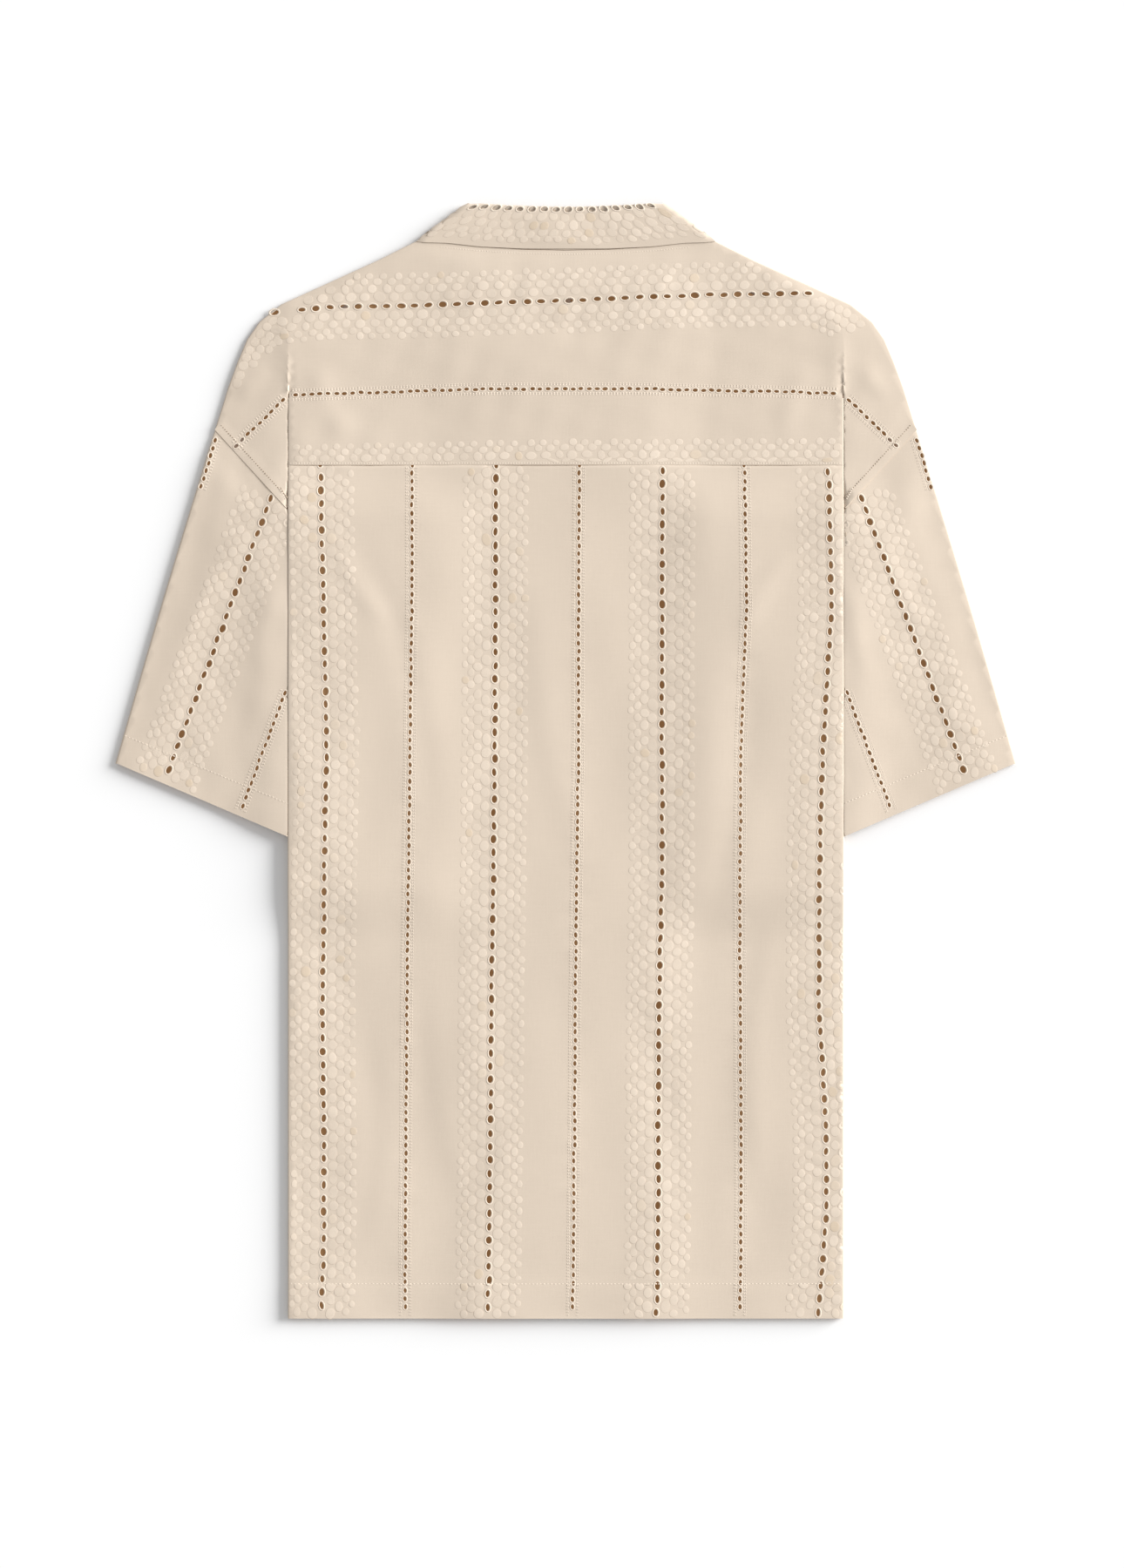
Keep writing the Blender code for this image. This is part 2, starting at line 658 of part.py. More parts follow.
def make_button(index):
    """One button under the placket, its dished face on the table."""
    profile = (
        (0.0, BUTTON_DISH_DEPTH),
        (BUTTON_DISH_RADIUS, BUTTON_DISH_DEPTH),
        (BUTTON_DISH_RADIUS + 0.6, 0.0),
        (BUTTON_RADIUS - 0.4, 0.0),
        (BUTTON_RADIUS, 0.6),
        (BUTTON_RADIUS, BUTTON_HIGH - 0.4),
        (BUTTON_RADIUS - 0.6, BUTTON_HIGH),
        (0.0, BUTTON_HIGH),
    )
    verts = [(0.0, 0.0, profile[0][1] * MM)]
    for radius, high in profile[1:-1]:
        for turn in range(BUTTON_SIDES):
            angle = 2 * math.pi * turn / BUTTON_SIDES
            verts.append((radius * MM * math.cos(angle), radius * MM * math.sin(angle), high * MM))
    verts.append((0.0, 0.0, profile[-1][1] * MM))
    faces = []
    rings = len(profile) - 2
    for turn in range(BUTTON_SIDES):
        ahead = (turn + 1) % BUTTON_SIDES
        faces.append([0, 1 + ahead, 1 + turn])
        for ring in range(rings - 1):
            start = 1 + ring * BUTTON_SIDES
            above = start + BUTTON_SIDES
            faces.append([start + turn, start + ahead, above + ahead, above + turn])
        last = 1 + (rings - 1) * BUTTON_SIDES
        faces.append([last + turn, last + ahead, len(verts) - 1])
    button = add_object(f"button_{index + 1}", verts, faces)
    button.location = place(0.0, TOP_BUTTON_UP - index * BUTTON_SPACING, 0.0, 1)
    add_material(button, BUTTON_COLOUR, 0.35)


def main():
    """Make the garment."""
    clear_scene()
    make_yoke()
    make_back()
    make_front("front_left", -1, PLACKET_BOTTOM_LAYER, 17.0, 28.0)
    make_front("front_right", 1, PLACKET_TOP_LAYER, 23.0, 32.0)
    make_sleeve_back("sleeve_left_back", -1)
    make_sleeve_back("sleeve_right_back", 1)
    make_sleeve_front("sleeve_left_front", -1)
    make_sleeve_front("sleeve_right_front", 1)
    make_collar()
    for index in range(BUTTON_COUNT):
        make_button(index)


main()
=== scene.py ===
"""Dresses the overshirt: thin cotton panels, eyelets, embroidery, stitching and buttons.

Lengths are millimetres as on the garment: "across" is the distance out from the centre
line, "up" the height above the hem and "high" the height above the table. Meshes are made
in metres in the frame's own axes: +Y to the collar, +Z away from the table.
"""

import logging
import math
from dataclasses import dataclass, field, replace
from enum import Enum

import bmesh
import bpy
import numpy as np
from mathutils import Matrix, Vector
from mathutils.bvhtree import BVHTree
from mathutils.geometry import delaunay_2d_cdt


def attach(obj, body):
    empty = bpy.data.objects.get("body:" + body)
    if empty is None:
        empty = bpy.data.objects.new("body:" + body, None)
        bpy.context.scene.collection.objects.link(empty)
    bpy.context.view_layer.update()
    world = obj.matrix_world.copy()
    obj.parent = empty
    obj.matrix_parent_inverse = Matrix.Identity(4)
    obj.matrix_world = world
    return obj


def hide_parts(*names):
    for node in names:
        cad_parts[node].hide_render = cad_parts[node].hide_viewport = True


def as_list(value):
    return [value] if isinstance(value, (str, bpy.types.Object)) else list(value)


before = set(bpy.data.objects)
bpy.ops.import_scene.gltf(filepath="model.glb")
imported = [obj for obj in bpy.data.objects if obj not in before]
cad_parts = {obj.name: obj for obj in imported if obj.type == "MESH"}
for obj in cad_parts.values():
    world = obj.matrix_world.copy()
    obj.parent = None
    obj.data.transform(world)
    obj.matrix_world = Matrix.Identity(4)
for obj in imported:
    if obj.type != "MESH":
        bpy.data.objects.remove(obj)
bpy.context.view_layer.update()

LOG = logging.getLogger("overshirt")
MM = 0.001

LENGTH = 780.0
HALF_BODY = 194.3
SIDE_SEAM_ACROSS = 104.0
WALL = 0.5
FRONT_HIGH = 0.55
STEP_UP = 1.4
OVER_FRONT = FRONT_HIGH + STEP_UP
SLEEVE_LIFT = 2.8
BACK_RADIUS = 0.6
TUCK_RADIUS = 0.4
INNER_RADIUS = 0.7
BACK_MID_HIGH = 5.2
SIDE_FOLD = HALF_BODY - BACK_RADIUS - WALL / 2
BESIDE_RISE = 1.75
BESIDE_LINES = (194.4, 194.65, 195.2, 196.4)
PLEAT_APEX_UP = 648.4
PLEAT_SLOPE = math.tan(math.radians(22.5))
YOKE_SEAM_UP = 596.9
ARMHOLE_TOP = (245.5, 621.6)
ARMHOLE_AT_SIDE = (194.3, 565.5)
ARMHOLE_BEND = (157.1, 524.6)
UNDERARM = (104.0, 430.7)
ARMHOLE_STRAIGHT = 0.32
CUFF_OUTER = (315.2, 388.0)
CUFF_INNER = (122.3, 306.2)
HEM_UP = 24.4

# Slope of the armhole's straight outer part, and the cosine of its angle
ARMHOLE_SLOPE = 1.096
ARMHOLE_COSINE = 0.674

# Where the layers underneath lift the cloth: below this height, and out from here
LIFT_TOP = 600.0
LIFT_RUN = 43.0
SIDE_RISE_FROM = 55.0
SIDE_RISE_RUN = 49.0

# Middle of the collar's front leaf, and how far round it the cloth is lifted
LEAF_MIDDLE = (54.6, 715.5)
LEAF_REACH = 76.0
LEAF_RUN = 30.0

# The tucks: where their return starts, and how many points of a section belong to it
RETURN_UP = 455.0
RETURN_POINTS = 10
TUCK_SHARES = (0.0, 0.34, 0.67, 1.0)

HOLE_CLEARANCE = 0.9
BEND_CLEARANCE = 1.8
FOLD_STEPS = 6
QUARTERS = (0.0, 0.25, 0.5, 0.75, 1.0)

Plan = tuple[float, float]
Array = np.ndarray
Colour = tuple[float, float, float, float]

# Yoke sections from the neck down, as the solid has them
YOKE_SECTIONS = (
    # mid_up, pleat_across, pleat_up, turn, rim_across, rim_up, mid_high, pleat_high
    (746.9, 92.0, 752.8, 0, 101.5, 755.1, 3.35, 3.35),
    (738.0, 118.0, 741.5, 0, 132.0, 739.9, 4.3, 3.7),
    (722.0, 150.0, 728.0, 0, 165.6, 724.7, 5.1, 3.6),
    (703.0, 184.0, 706.0, 0, 199.2, 709.4, 5.2, 3.5),
    (688.0, SIDE_FOLD, 688.0, 0, 214.4, 697.2, 5.2, 3.8),
    (676.0, SIDE_FOLD, 676.0, 45, 223.0, 685.0, 5.2, 3.9),
    (664.5, SIDE_FOLD, 664.5, 90, 229.7, 669.2, 5.2, 3.95),
    (656.0, SIDE_FOLD, 656.0, 135, 236.4, 650.9, 5.2, 3.95),
    (648.0, SIDE_FOLD, 648.0, 180, 245.5, 621.6, 5.2, 3.95),
)

# Collar sections from the centre back round the neck to the front edge
COLLAR_SECTIONS = (
    # seam_across, seam_up, crease_across, crease_up, edge_across, edge_up, angle
    (0.0, 747.3, 0.0, 776.8, 0.0, 748.2, 90),
    (30.0, 747.9, 22.0, 777.2, 31.0, 748.3, 90),
    (60.0, 749.8, 44.0, 778.2, 60.0, 749.6, 90),
    (82.0, 752.0, 59.0, 779.2, 83.0, 752.2, 90),
    *((97.5, 755.2, 68.3, 778.9, 104.0, 752.8, angle) for angle in (90, 45, 0, -45, -90)),
    (94.6, 744.5, 65.0, 769.0, 106.0, 737.0, -90),
    (85.9, 726.9, 57.0, 757.0, 103.0, 712.0, -90),
    (72.6, 717.3, 42.0, 741.0, 87.0, 688.0, -90),
    (48.4, 711.2, 24.0, 726.0, 66.0, 668.0, -90),
    (9.0, 709.3, 3.6, 711.5, 39.3, 645.4, -90),
)

# The back's columns of embroidery, read down the photo at eight heights
BACK_COLUMN_UPS = (600.0, 495.9, 404.4, 312.9, 221.4, 129.9, 68.9, 0.0)
BACK_LARGE_COLUMNS = (
    (-171.7, -169.3, -167.4, -168.7, -170.5, -169.3, -169.3, -171.1),
    (-49.1, -49.4, -49.7, -50.9, -52.2, -52.8, -53.7, -54.6),
    (67.4, 67.1, 66.8, 67.1, 65.0, 64.4, 64.4, 63.1),
    (183.3, 185.4, 179.6, 176.9, 176.6, 181.8, 181.8, 176.0),
)
BACK_NARROW_COLUMNS = (
    (-107.7, -107.7, -108.9, -110.1, -111.3, -111.9, -112.5, -112.2),
    (9.2, 8.8, 8.8, 7.6, 6.4, 5.8, 5.2, 4.6),
    (124.7, 126.0, 122.3, 121.4, 121.7, 122.3, 122.3, 121.7),
)

YOKE_HALF_BAND = ((-190.0, 588.3), (-90.0, 590.2), (0.0, 591.8), (190.0, 592.6))
YOKE_LARGE_ROW = (
    (-206.0, 703.6), (-164.4, 707.4), (-127.8, 708.0), (-91.2, 708.8), (-54.6, 710.0),
    (-18.0, 711.3), (18.6, 712.5), (55.2, 714.3), (91.8, 715.5), (128.4, 716.3), (176.0, 716.9),
)
YOKE_NARROW_ROW = (
    (-192.0, 645.9), (-164.4, 646.6), (-127.8, 647.8), (-91.2, 649.0), (-54.6, 650.0),
    (55.2, 650.0), (91.8, 649.0), (128.4, 648.4), (165.0, 647.8), (192.0, 646.8),
)
SHOULDER_NARROW_ROW = ((196.5, 643.5), (232.0, 609.5))

SLEEVE_LARGE_ROW = ((206.5, 573.4), (281.0, 375.4))
SLEEVE_NARROW_ROW = ((195.5, 439.2), (228.0, 353.8))
SLEEVE_EDGE_ROW = ((244.9, 616.0), (256.1, 578.5))

# The shoulders' edges, along which the embroidery bends down, more so on the left
SHOULDER_BAND = (
    (-207.0, 700.0), (-217.0, 690.0), (-225.0, 677.0), (-231.0, 660.0), (-236.0, 646.0),
)
RIGHT_BAND = ((181.0, 716.0), (199.0, 707.5), (211.0, 698.0), (221.0, 684.0))

# One repeat of the embroidered petals beside a row, three eyelets long
PETAL_REPEAT = 28.1
PETALS = (
    # aside, along on the left, along on the right, wide, long, tilt
    (6.1, -4.7, -4.7, 5.8, 6.8, 0),
    (6.1, 5.3, 5.3, 6.1, 7.9, -14),
    (6.1, 14.2, 14.2, 6.2, 6.6, 16),
    (11.7, 0.4, 1.4, 5.3, 6.4, 0),
    (11.7, 9.9, 10.5, 6.1, 5.1, 20),
    (11.7, 18.3, 19.2, 5.8, 7.0, 0),
    (16.7, 3.5, -4.3, 4.7, 5.6, 0),
    (16.7, 13.2, 5.3, 4.7, 5.8, 8),
    (16.7, 23.0, 14.6, 4.7, 5.1, 0),
    (20.5, -1.6, -0.9, 4.0, 4.8, 0),
    (20.5, 7.2, 8.6, 4.0, 4.7, 0),
    (20.5, 18.3, 19.5, 4.7, 4.8, 0),
)


class RowKind(Enum):
    """The two sorts of eyelet row."""

    LARGE = "large"
    NARROW = "narrow"


def ease(share: Array | float) -> Array:
    """Return a smooth rise from 0 to 1."""
    share = np.clip(share, 0.0, 1.0)
    return share * share * (3.0 - 2.0 * share)


def lerp(first: Array | float, last: Array | float, share: Array | float) -> Array:
    """Return the value a share of the way from first to last."""
    return first + (last - first) * share


def sleeve_lift(across: Array | float, up: Array | float) -> Array:
    """Height that the tucked layers add under the sleeve, 0 outside the body."""
    return SLEEVE_LIFT * ease((231.5 - across) / 30.5) * ease((LIFT_TOP - up) / LIFT_RUN)


def beside_fold(reach: Array | float, up: Array | float) -> Array:
    """How far the cloth beside a side fold stands up against it, 0 under the fold.

    Args:
        reach: distances out from the centre line.
        up: places up.

    Returns:
        The height at each place.
    """
    turn = np.interp(up, (648.0, 656.0, 664.5, 676.0, 688.0), (180.0, 135.0, 90.0, 45.0, 0.0))
    step = (1 - np.cos(np.radians(turn))) / 2
    start = np.where(up > PLEAT_APEX_UP, SIDE_FOLD - 0.15, 194.4)
    wide = np.where(up > PLEAT_APEX_UP, 1.0, 0.25)
    near = ease((reach - start) / wide) * (1 - ease((reach - 196.0) / 62.0))
    return BESIDE_RISE * near * step


def body_lift(up: Array | float) -> Array:
    """Height that the tucked sleeve adds under the back."""
    return (SLEEVE_LIFT * ease((LIFT_TOP - up) / LIFT_RUN)
            * (1.0 - ease((304.0 - up) / LIFT_RUN)))


def leaf_lift(across: Array | float, up: Array | float) -> Array:
    """Height that the collar's front leaves add under the cloth near the neck."""
    reach = np.hypot(np.abs(across) - LEAF_MIDDLE[0], up - LEAF_MIDDLE[1])
    return STEP_UP * (1.0 - ease((reach - LEAF_REACH) / LEAF_RUN))


def tuck_inner(up: float) -> float:
    """Where the tuck's inner edge lies: on the slanting fold, or at the side seam."""
    return max(SIDE_SEAM_ACROSS, SIDE_FOLD - max(0.0, PLEAT_APEX_UP - up) * PLEAT_SLOPE)


def armhole(share: float) -> Plan:
    """Return the armhole's point, from its outer end (0) to the underarm (1).

    Args:
        share: place along it.

    Returns:
        The point's across and up.
    """
    if share <= ARMHOLE_STRAIGHT:
        part = share / ARMHOLE_STRAIGHT
        return (lerp(ARMHOLE_TOP[0], ARMHOLE_AT_SIDE[0], part),
                lerp(ARMHOLE_TOP[1], ARMHOLE_AT_SIDE[1], part))
    part = (share - ARMHOLE_STRAIGHT) / (1.0 - ARMHOLE_STRAIGHT)
    return tuple((1 - part) ** 2 * start + 2 * part * (1 - part) * bend + part ** 2 * end
                 for start, bend, end in zip(ARMHOLE_AT_SIDE, ARMHOLE_BEND, UNDERARM))


def uneven(across: Array, up: Array, wavelength: float, seed: int) -> Array:
    """Return soft irregular waves between about -1 and 1.

    Args:
        across: places across, in millimetres.
        up: places up, in millimetres.
        wavelength: usual length of a wave, in millimetres.
        seed: number that fixes the pattern.

    Returns:
        One value for each place.
    """
    draw = np.random.default_rng(seed)
    total = np.zeros_like(across, dtype=float)
    for _ in range(6):
        heading = draw.uniform(0.0, math.tau)
        number = math.tau / (wavelength * draw.uniform(0.7, 1.6))
        phase = draw.uniform(0.0, math.tau)
        total += np.sin(number * (across * math.cos(heading) + up * math.sin(heading)) + phase)
    return total / 3.0


def fold(across: Array, up: Array, crease: tuple) -> Array:
    """Return the height of one soft ridge or trough.

    Args:
        across: places across, in millimetres.
        up: places up, in millimetres.
        crease: its two ends in plan, its half width and its height, below 0 for a trough.

    Returns:
        The height that it adds at each place.
    """
    first_across, first_up, last_across, last_up, width, high = crease
    run = np.array([last_across - first_across, last_up - first_up])
    length = float(np.hypot(*run))
    along = ((across - first_across) * run[0] + (up - first_up) * run[1]) / length
    aside = ((across - first_across) * -run[1] + (up - first_up) * run[0]) / length
    aside = aside + 0.06 * length * np.sin(along / length * math.pi) * np.sign(high)
    ends = ease(along / (0.3 * length)) * ease((length - along) / (0.3 * length))
    return high * np.exp(-((aside / width) ** 2)) * ends


class Track:
    """A line in plan that a row of eyelets or stitches follows."""

    def __init__(self, points: list[Plan]) -> None:
        """Keep the line's points and the distance along it to each.

        Args:
            points: corners of the line, as (across, up).
        """
        self.points = np.array(points, dtype=float)
        steps = np.hypot(*np.diff(self.points, axis=0).T)
        self.reach = np.concatenate([[0.0], np.cumsum(steps)])
        self.length = float(self.reach[-1])

    def at(self, along: float, aside: float = 0.0) -> tuple[float, float, float]:
        """Return a point beside the line and the line's heading there.

        Args:
            along: distance from the line's start.
            aside: distance to the left of the line.

        Returns:
            The point's across and up, and the heading in radians.
        """
        across = np.interp(along, self.reach, self.points[:, 0])
        up = np.interp(along, self.reach, self.points[:, 1])
        low = max(0.0, along - 6.0)
        far = min(self.length, along + 6.0)
        ahead = np.array([np.interp(far, self.reach, self.points[:, 0])
                          - np.interp(low, self.reach, self.points[:, 0]),
                          np.interp(far, self.reach, self.points[:, 1])
                          - np.interp(low, self.reach, self.points[:, 1])])
        heading = math.atan2(ahead[1], ahead[0])
        return (float(across) - math.sin(heading) * aside,
                float(up) + math.cos(heading) * aside, heading)


@dataclass(frozen=True)
class Eyelet:
    """One hole with a whipped edge: its place, heading and size."""

    across: float
    up: float
    heading: float
    long: float
    wide: float
    rim: float

    def loop(self, sides: int) -> Array:
        """Return the hole's outline in plan.

        Args:
            sides: number of its corners.

        Returns:
            The corners, one to a row.
        """
        angles = (np.arange(sides) + 0.5) * math.tau / sides
        ahead = np.cos(angles) * self.long / 2
        aside = np.sin(angles) * self.wide / 2
        cos, sin = math.cos(self.heading), math.sin(self.heading)
        return np.stack([self.across + ahead * cos - aside * sin,
                         self.up + ahead * sin + aside * cos], 1)


@dataclass(frozen=True)
class Petal:
    """One raised satin-stitched petal: its place, heading, size and tone."""

    across: float
    up: float
    heading: float
    wide: float
    long: float
    tone: float


@dataclass(frozen=True)
class Dash:
    """One stitch on the cloth: its place, heading and size."""

    across: float
    up: float
    heading: float
    long: float
    wide: float


@dataclass
class EyeletRow:
    """A row of eyelets with the petals or the lines of stitches beside it."""

    track: Track
    kind: RowKind
    pitch: float
    first: float
    seed: int
    sides: tuple[int, ...] = (-1, 1)
    wide_phase: int = 2

    def eyelets(self) -> list[Eyelet]:
        """Return the row's eyelets.

        Returns:
            The eyelets in order, each slightly uneven.
        """
        draw = np.random.default_rng(self.seed)
        found = []
        count = int((self.track.length - self.first) / self.pitch) + 1
        for index in range(count):
            across, up, heading = self.track.at(
                self.first + index * self.pitch + draw.normal(0.0, 0.2), draw.normal(0.0, 0.2))
            heading += draw.normal(0.0, 0.09)
            if self.kind is RowKind.NARROW:
                size = (3.6, 2.2, 0.9)
            elif index % 3 == self.wide_phase:
                size = (5.5, 3.8, 1.15)
            else:
                size = (5.2, 2.9, 1.1)
            found.append(Eyelet(across, up, heading, size[0] * draw.uniform(0.9, 1.08),
                                size[1] * draw.uniform(0.88, 1.08), size[2]))
        return found

    def petals(self) -> list[Petal]:
        """Return the petals on both sides of a large row.

        Returns:
            The petals, or none beside a narrow row.
        """
        if self.kind is RowKind.NARROW:
            return []
        draw = np.random.default_rng(self.seed + 1000)
        found = []
        repeat = 3 * self.pitch
        scale = repeat / PETAL_REPEAT
        start = self.first + (self.wide_phase - 2) * self.pitch - repeat
        for index in range(int(self.track.length / repeat) + 3):
            for side in self.sides:
                for aside, left, right, wide, long, tilt in PETALS:
                    along = left if side > 0 else right
                    place = start + index * repeat + along * scale + draw.normal(0.0, 0.25)
                    if not -1.0 < place < self.track.length + 1.0:
                        continue
                    across, up, heading = self.track.at(
                        place, side * (aside + 0.3 + draw.normal(0, 0.2)))
                    heading += math.radians(side * tilt + draw.normal(0, 9))
                    found.append(Petal(across, up, heading,
                                       wide * draw.uniform(1.0, 1.2),
                                       long * draw.uniform(1.0, 1.22), float(draw.uniform())))
        return found

    def dashes(self) -> list[Dash]:
        """Return the lines of small stitches beside a narrow row.

        Returns:
            The stitches, or none beside a large row.
        """
        if self.kind is RowKind.LARGE:
            return []
        return [dash for aside, wide in ((-3.9, 0.6), (-2.9, 0.9), (2.9, 0.9), (3.9, 0.6))
                for dash in stitch_line(self.track, aside, 2.1, 1.5, wide, self.seed)]


def stitch_line(track: Track, aside: float, pitch: float, long: float, wide: float,
                seed: int) -> list[Dash]:
    """Return the stitches of one line beside a track.

    Args:
        track: the line that the stitches follow.
        aside: their distance to its left.
        pitch: distance between stitches.
        long: length of a stitch.
        wide: width of a stitch.
        seed: number that fixes the small unevenness.

    Returns:
        The stitches from the line's start to its end.
    """
    draw = np.random.default_rng(seed + 77)
    found = []
    for index in range(int(track.length / pitch)):
        across, up, heading = track.at((index + 0.5) * pitch, aside + draw.normal(0.0, 0.06))
        found.append(Dash(across, up, heading + draw.normal(0.0, 0.05),
                          long * draw.uniform(0.9, 1.1), wide))
    return found


class HeightMap:
    """Heights of a surface above the table, read off coarse polygons."""

    def __init__(self, low: Plan, high: Plan, points: list, faces: list, step: float = 1.5) -> None:
        """Read the heights on a grid by looking straight down.

        Args:
            low: lowest across and up.
            high: highest across and up.
            points: the surface's points, in millimetres.
            faces: its polygons.
            step: distance between the grid's lines.
        """
        self.low = low
        self.step = step
        tree = BVHTree.FromPolygons([Vector(point) for point in points], faces)
        columns = int((high[0] - low[0]) / step) + 2
        rows = int((high[1] - low[1]) / step) + 2
        values = np.full((rows, columns), np.nan)
        down = Vector((0.0, 0.0, -1.0))
        for row in range(rows):
            for column in range(columns):
                spot = Vector((low[0] + column * step, low[1] + row * step, 100.0))
                hit = tree.ray_cast(spot, down)[0]
                if hit is not None:
                    values[row, column] = hit.z
        self.values = self._softened(self._filled(values))

    @staticmethod
    def _filled(values: Array) -> Array:
        """Return the grid with its empty places filled from the nearest in their row.

        Args:
            values: heights with gaps.

        Returns:
            The heights without gaps.
        """
        places = np.arange(values.shape[1])
        last = None
        for order in (range(values.shape[0]), reversed(range(values.shape[0]))):
            for row in order:
                known = ~np.isnan(values[row])
                if known.any():
                    values[row] = np.interp(places, places[known], values[row][known])
                    last = values[row]
                elif last is not None:
                    values[row] = last
        return values

    @staticmethod
    def _softened(values: Array) -> Array:
        """Return the grid with its facets' edges softened.

        Args:
            values: heights.

        Returns:
            The softened heights.
        """
        for _ in range(3):
            padded = np.pad(values, 1, mode="edge")
            values = (padded[:-2, 1:-1] + padded[2:, 1:-1] + padded[1:-1, :-2]
                      + padded[1:-1, 2:] + 2 * padded[1:-1, 1:-1]) / 6
        return values

    def at(self, across: Array, up: Array) -> Array:
        """Return the height at each place.

        Args:
            across: places across.
            up: places up.

        Returns:
            One height for each place.
        """
        column = np.clip((across - self.low[0]) / self.step, 0, self.values.shape[1] - 1.001)
        row = np.clip((up - self.low[1]) / self.step, 0, self.values.shape[0] - 1.001)
        c, r = column.astype(int), row.astype(int)
        x, y = column - c, row - r
        grid = self.values
        return ((grid[r, c] * (1 - x) + grid[r, c + 1] * x) * (1 - y)
                + (grid[r + 1, c] * (1 - x) + grid[r + 1, c + 1] * x) * y)


def placed(name: str, data: bpy.types.ID) -> bpy.types.Object:
    """Return a new object that holds the data, linked into the scene.

    Args:
        name: the object's name.
        data: its mesh, light or camera.

    Returns:
        The object.
    """
    item = bpy.data.objects.new(name, data)
    bpy.context.collection.objects.link(item)
    return item


def set_inputs(node: bpy.types.Node, values: dict[str | int, object]) -> None:
    """Set a node's sockets from their names or numbers."""
    for name, value in values.items():
        node.inputs[name].default_value = value


class Recipe:
    """A material while its nodes are set up."""

    FIRST_COLOUR = 6
    SECOND_COLOUR = 7
    BLENDED = 2

    def __init__(self, name: str, surface: dict[str | int, object]) -> None:
        """Start the material.

        Args:
            name: its name.
            surface: values of its shader's sockets.
        """
        self.made = bpy.data.materials.new(name)
        self.made.use_nodes = True
        self.shader = self.made.node_tree.nodes["Principled BSDF"]
        set_inputs(self.shader, surface)

    def add(self, kind: str, inputs: dict[str | int, object] | None = None,
            **settings: str) -> bpy.types.Node:
        """Add a node.

        Args:
            kind: its type, without the words that every type starts with.
            inputs: values of its sockets.
            settings: values of its own options.

        Returns:
            The node.
        """
        node = self.made.node_tree.nodes.new(f"ShaderNode{kind}")
        for option, value in settings.items():
            setattr(node, option, value)
        set_inputs(node, inputs or {})
        return node

    def link(self, source: bpy.types.Node, output: str | int, target: bpy.types.Node,
             socket: str | int) -> None:
        """Join one node's output to another's socket."""
        self.made.node_tree.links.new(source.outputs[output], target.inputs[socket])

    def blend(self, source: bpy.types.Node, output: str, first: Colour | bpy.types.Node,
              second: Colour) -> bpy.types.Node:
        """Add a blend of two colours.

        Args:
            source: what gives the share of the second colour.
            output: which of its outputs does.
            first: the first colour, or the blend that gives it.
            second: the second colour.

        Returns:
            The blend's node.
        """
        mix = self.add("Mix", data_type="RGBA")
        if isinstance(first, bpy.types.Node):
            self.link(first, self.BLENDED, mix, self.FIRST_COLOUR)
        else:
            mix.inputs[self.FIRST_COLOUR].default_value = first
        mix.inputs[self.SECOND_COLOUR].default_value = second
        self.link(source, output, mix, "Factor")
        return mix

    def colour(self, blend: bpy.types.Node) -> None:
        """Give the shader a blend's colour."""
        self.link(blend, self.BLENDED, self.shader, "Base Color")

    def bump(self, source: bpy.types.Node, output: str | int, strength: float,
             distance: float) -> None:
        """Give the shader a bump.

        Args:
            source: what gives its height.
            output: which of its outputs does.
            strength: how much of it shows.
            distance: its height, in metres.
        """
        bump = self.add("Bump", {"Strength": strength, "Distance": distance})
        self.link(source, output, bump, "Height")
        self.link(bump, "Normal", self.shader, "Normal")


@dataclass(frozen=True)
class CottonFinish:
    """Fine plain-woven cotton with slubs, a soft sheen and slight unevenness of tone."""

    name: str = "cotton_cloth"
    light: Colour = (0.688, 0.581, 0.471, 1.0)
    dark: Colour = (0.648, 0.546, 0.442, 1.0)
    roughness: float = 0.85
    sheen: float = 0.25

    def material(self) -> bpy.types.Material:
        """Return the finish as a material.

        Returns:
            The material.
        """
        recipe = Recipe(self.name, {"Roughness": self.roughness, "Sheen Weight": self.sheen,
                                    "Sheen Roughness": 0.5, "Specular IOR Level": 0.25})
        chart = recipe.add("UVMap")
        waves = [recipe.add("TexWave", {"Scale": 640.0, "Distortion": 1.5, "Detail": 1.0,
                                        "Detail Scale": 0.3}, wave_type="BANDS",
                            bands_direction=way) for way in ("X", "Y")]
        weave = recipe.add("Math", operation="MAXIMUM")
        for number, wave in enumerate(waves):
            recipe.link(chart, "UV", wave, "Vector")
            recipe.link(wave, "Fac", weave, number)
        grain = recipe.add("Mix")
        for number, stretch in enumerate(((70.0, 800.0, 1.0), (800.0, 70.0, 1.0))):
            slub = recipe.add("Mapping", {"Scale": stretch})
            recipe.link(chart, "UV", slub, "Vector")
            threads = recipe.add("TexNoise", {"Scale": 1.0, "Detail": 3.0, "Roughness": 0.6})
            recipe.link(slub, "Vector", threads, "Vector")
            recipe.link(threads, "Fac", grain, 2 + number)
        cloud = recipe.add("TexNoise", {"Scale": 9.0, "Detail": 2.0})
        recipe.link(chart, "UV", cloud, "Vector")
        both = recipe.add("Math", operation="ADD")
        recipe.link(grain, 0, both, 0)
        recipe.link(cloud, "Fac", both, 1)
        tone = recipe.add("MapRange", {"From Min": 0.7, "From Max": 1.3})
        recipe.link(both, 0, tone, "Value")
        recipe.colour(recipe.blend(tone, "Result", self.dark, self.light))
        height = recipe.add("Math", {1: 1.5}, operation="MULTIPLY_ADD")
        recipe.link(grain, 0, height, 0)
        recipe.link(weave, 0, height, 2)
        recipe.bump(height, 0, 0.25, 0.00012)
        return recipe.made


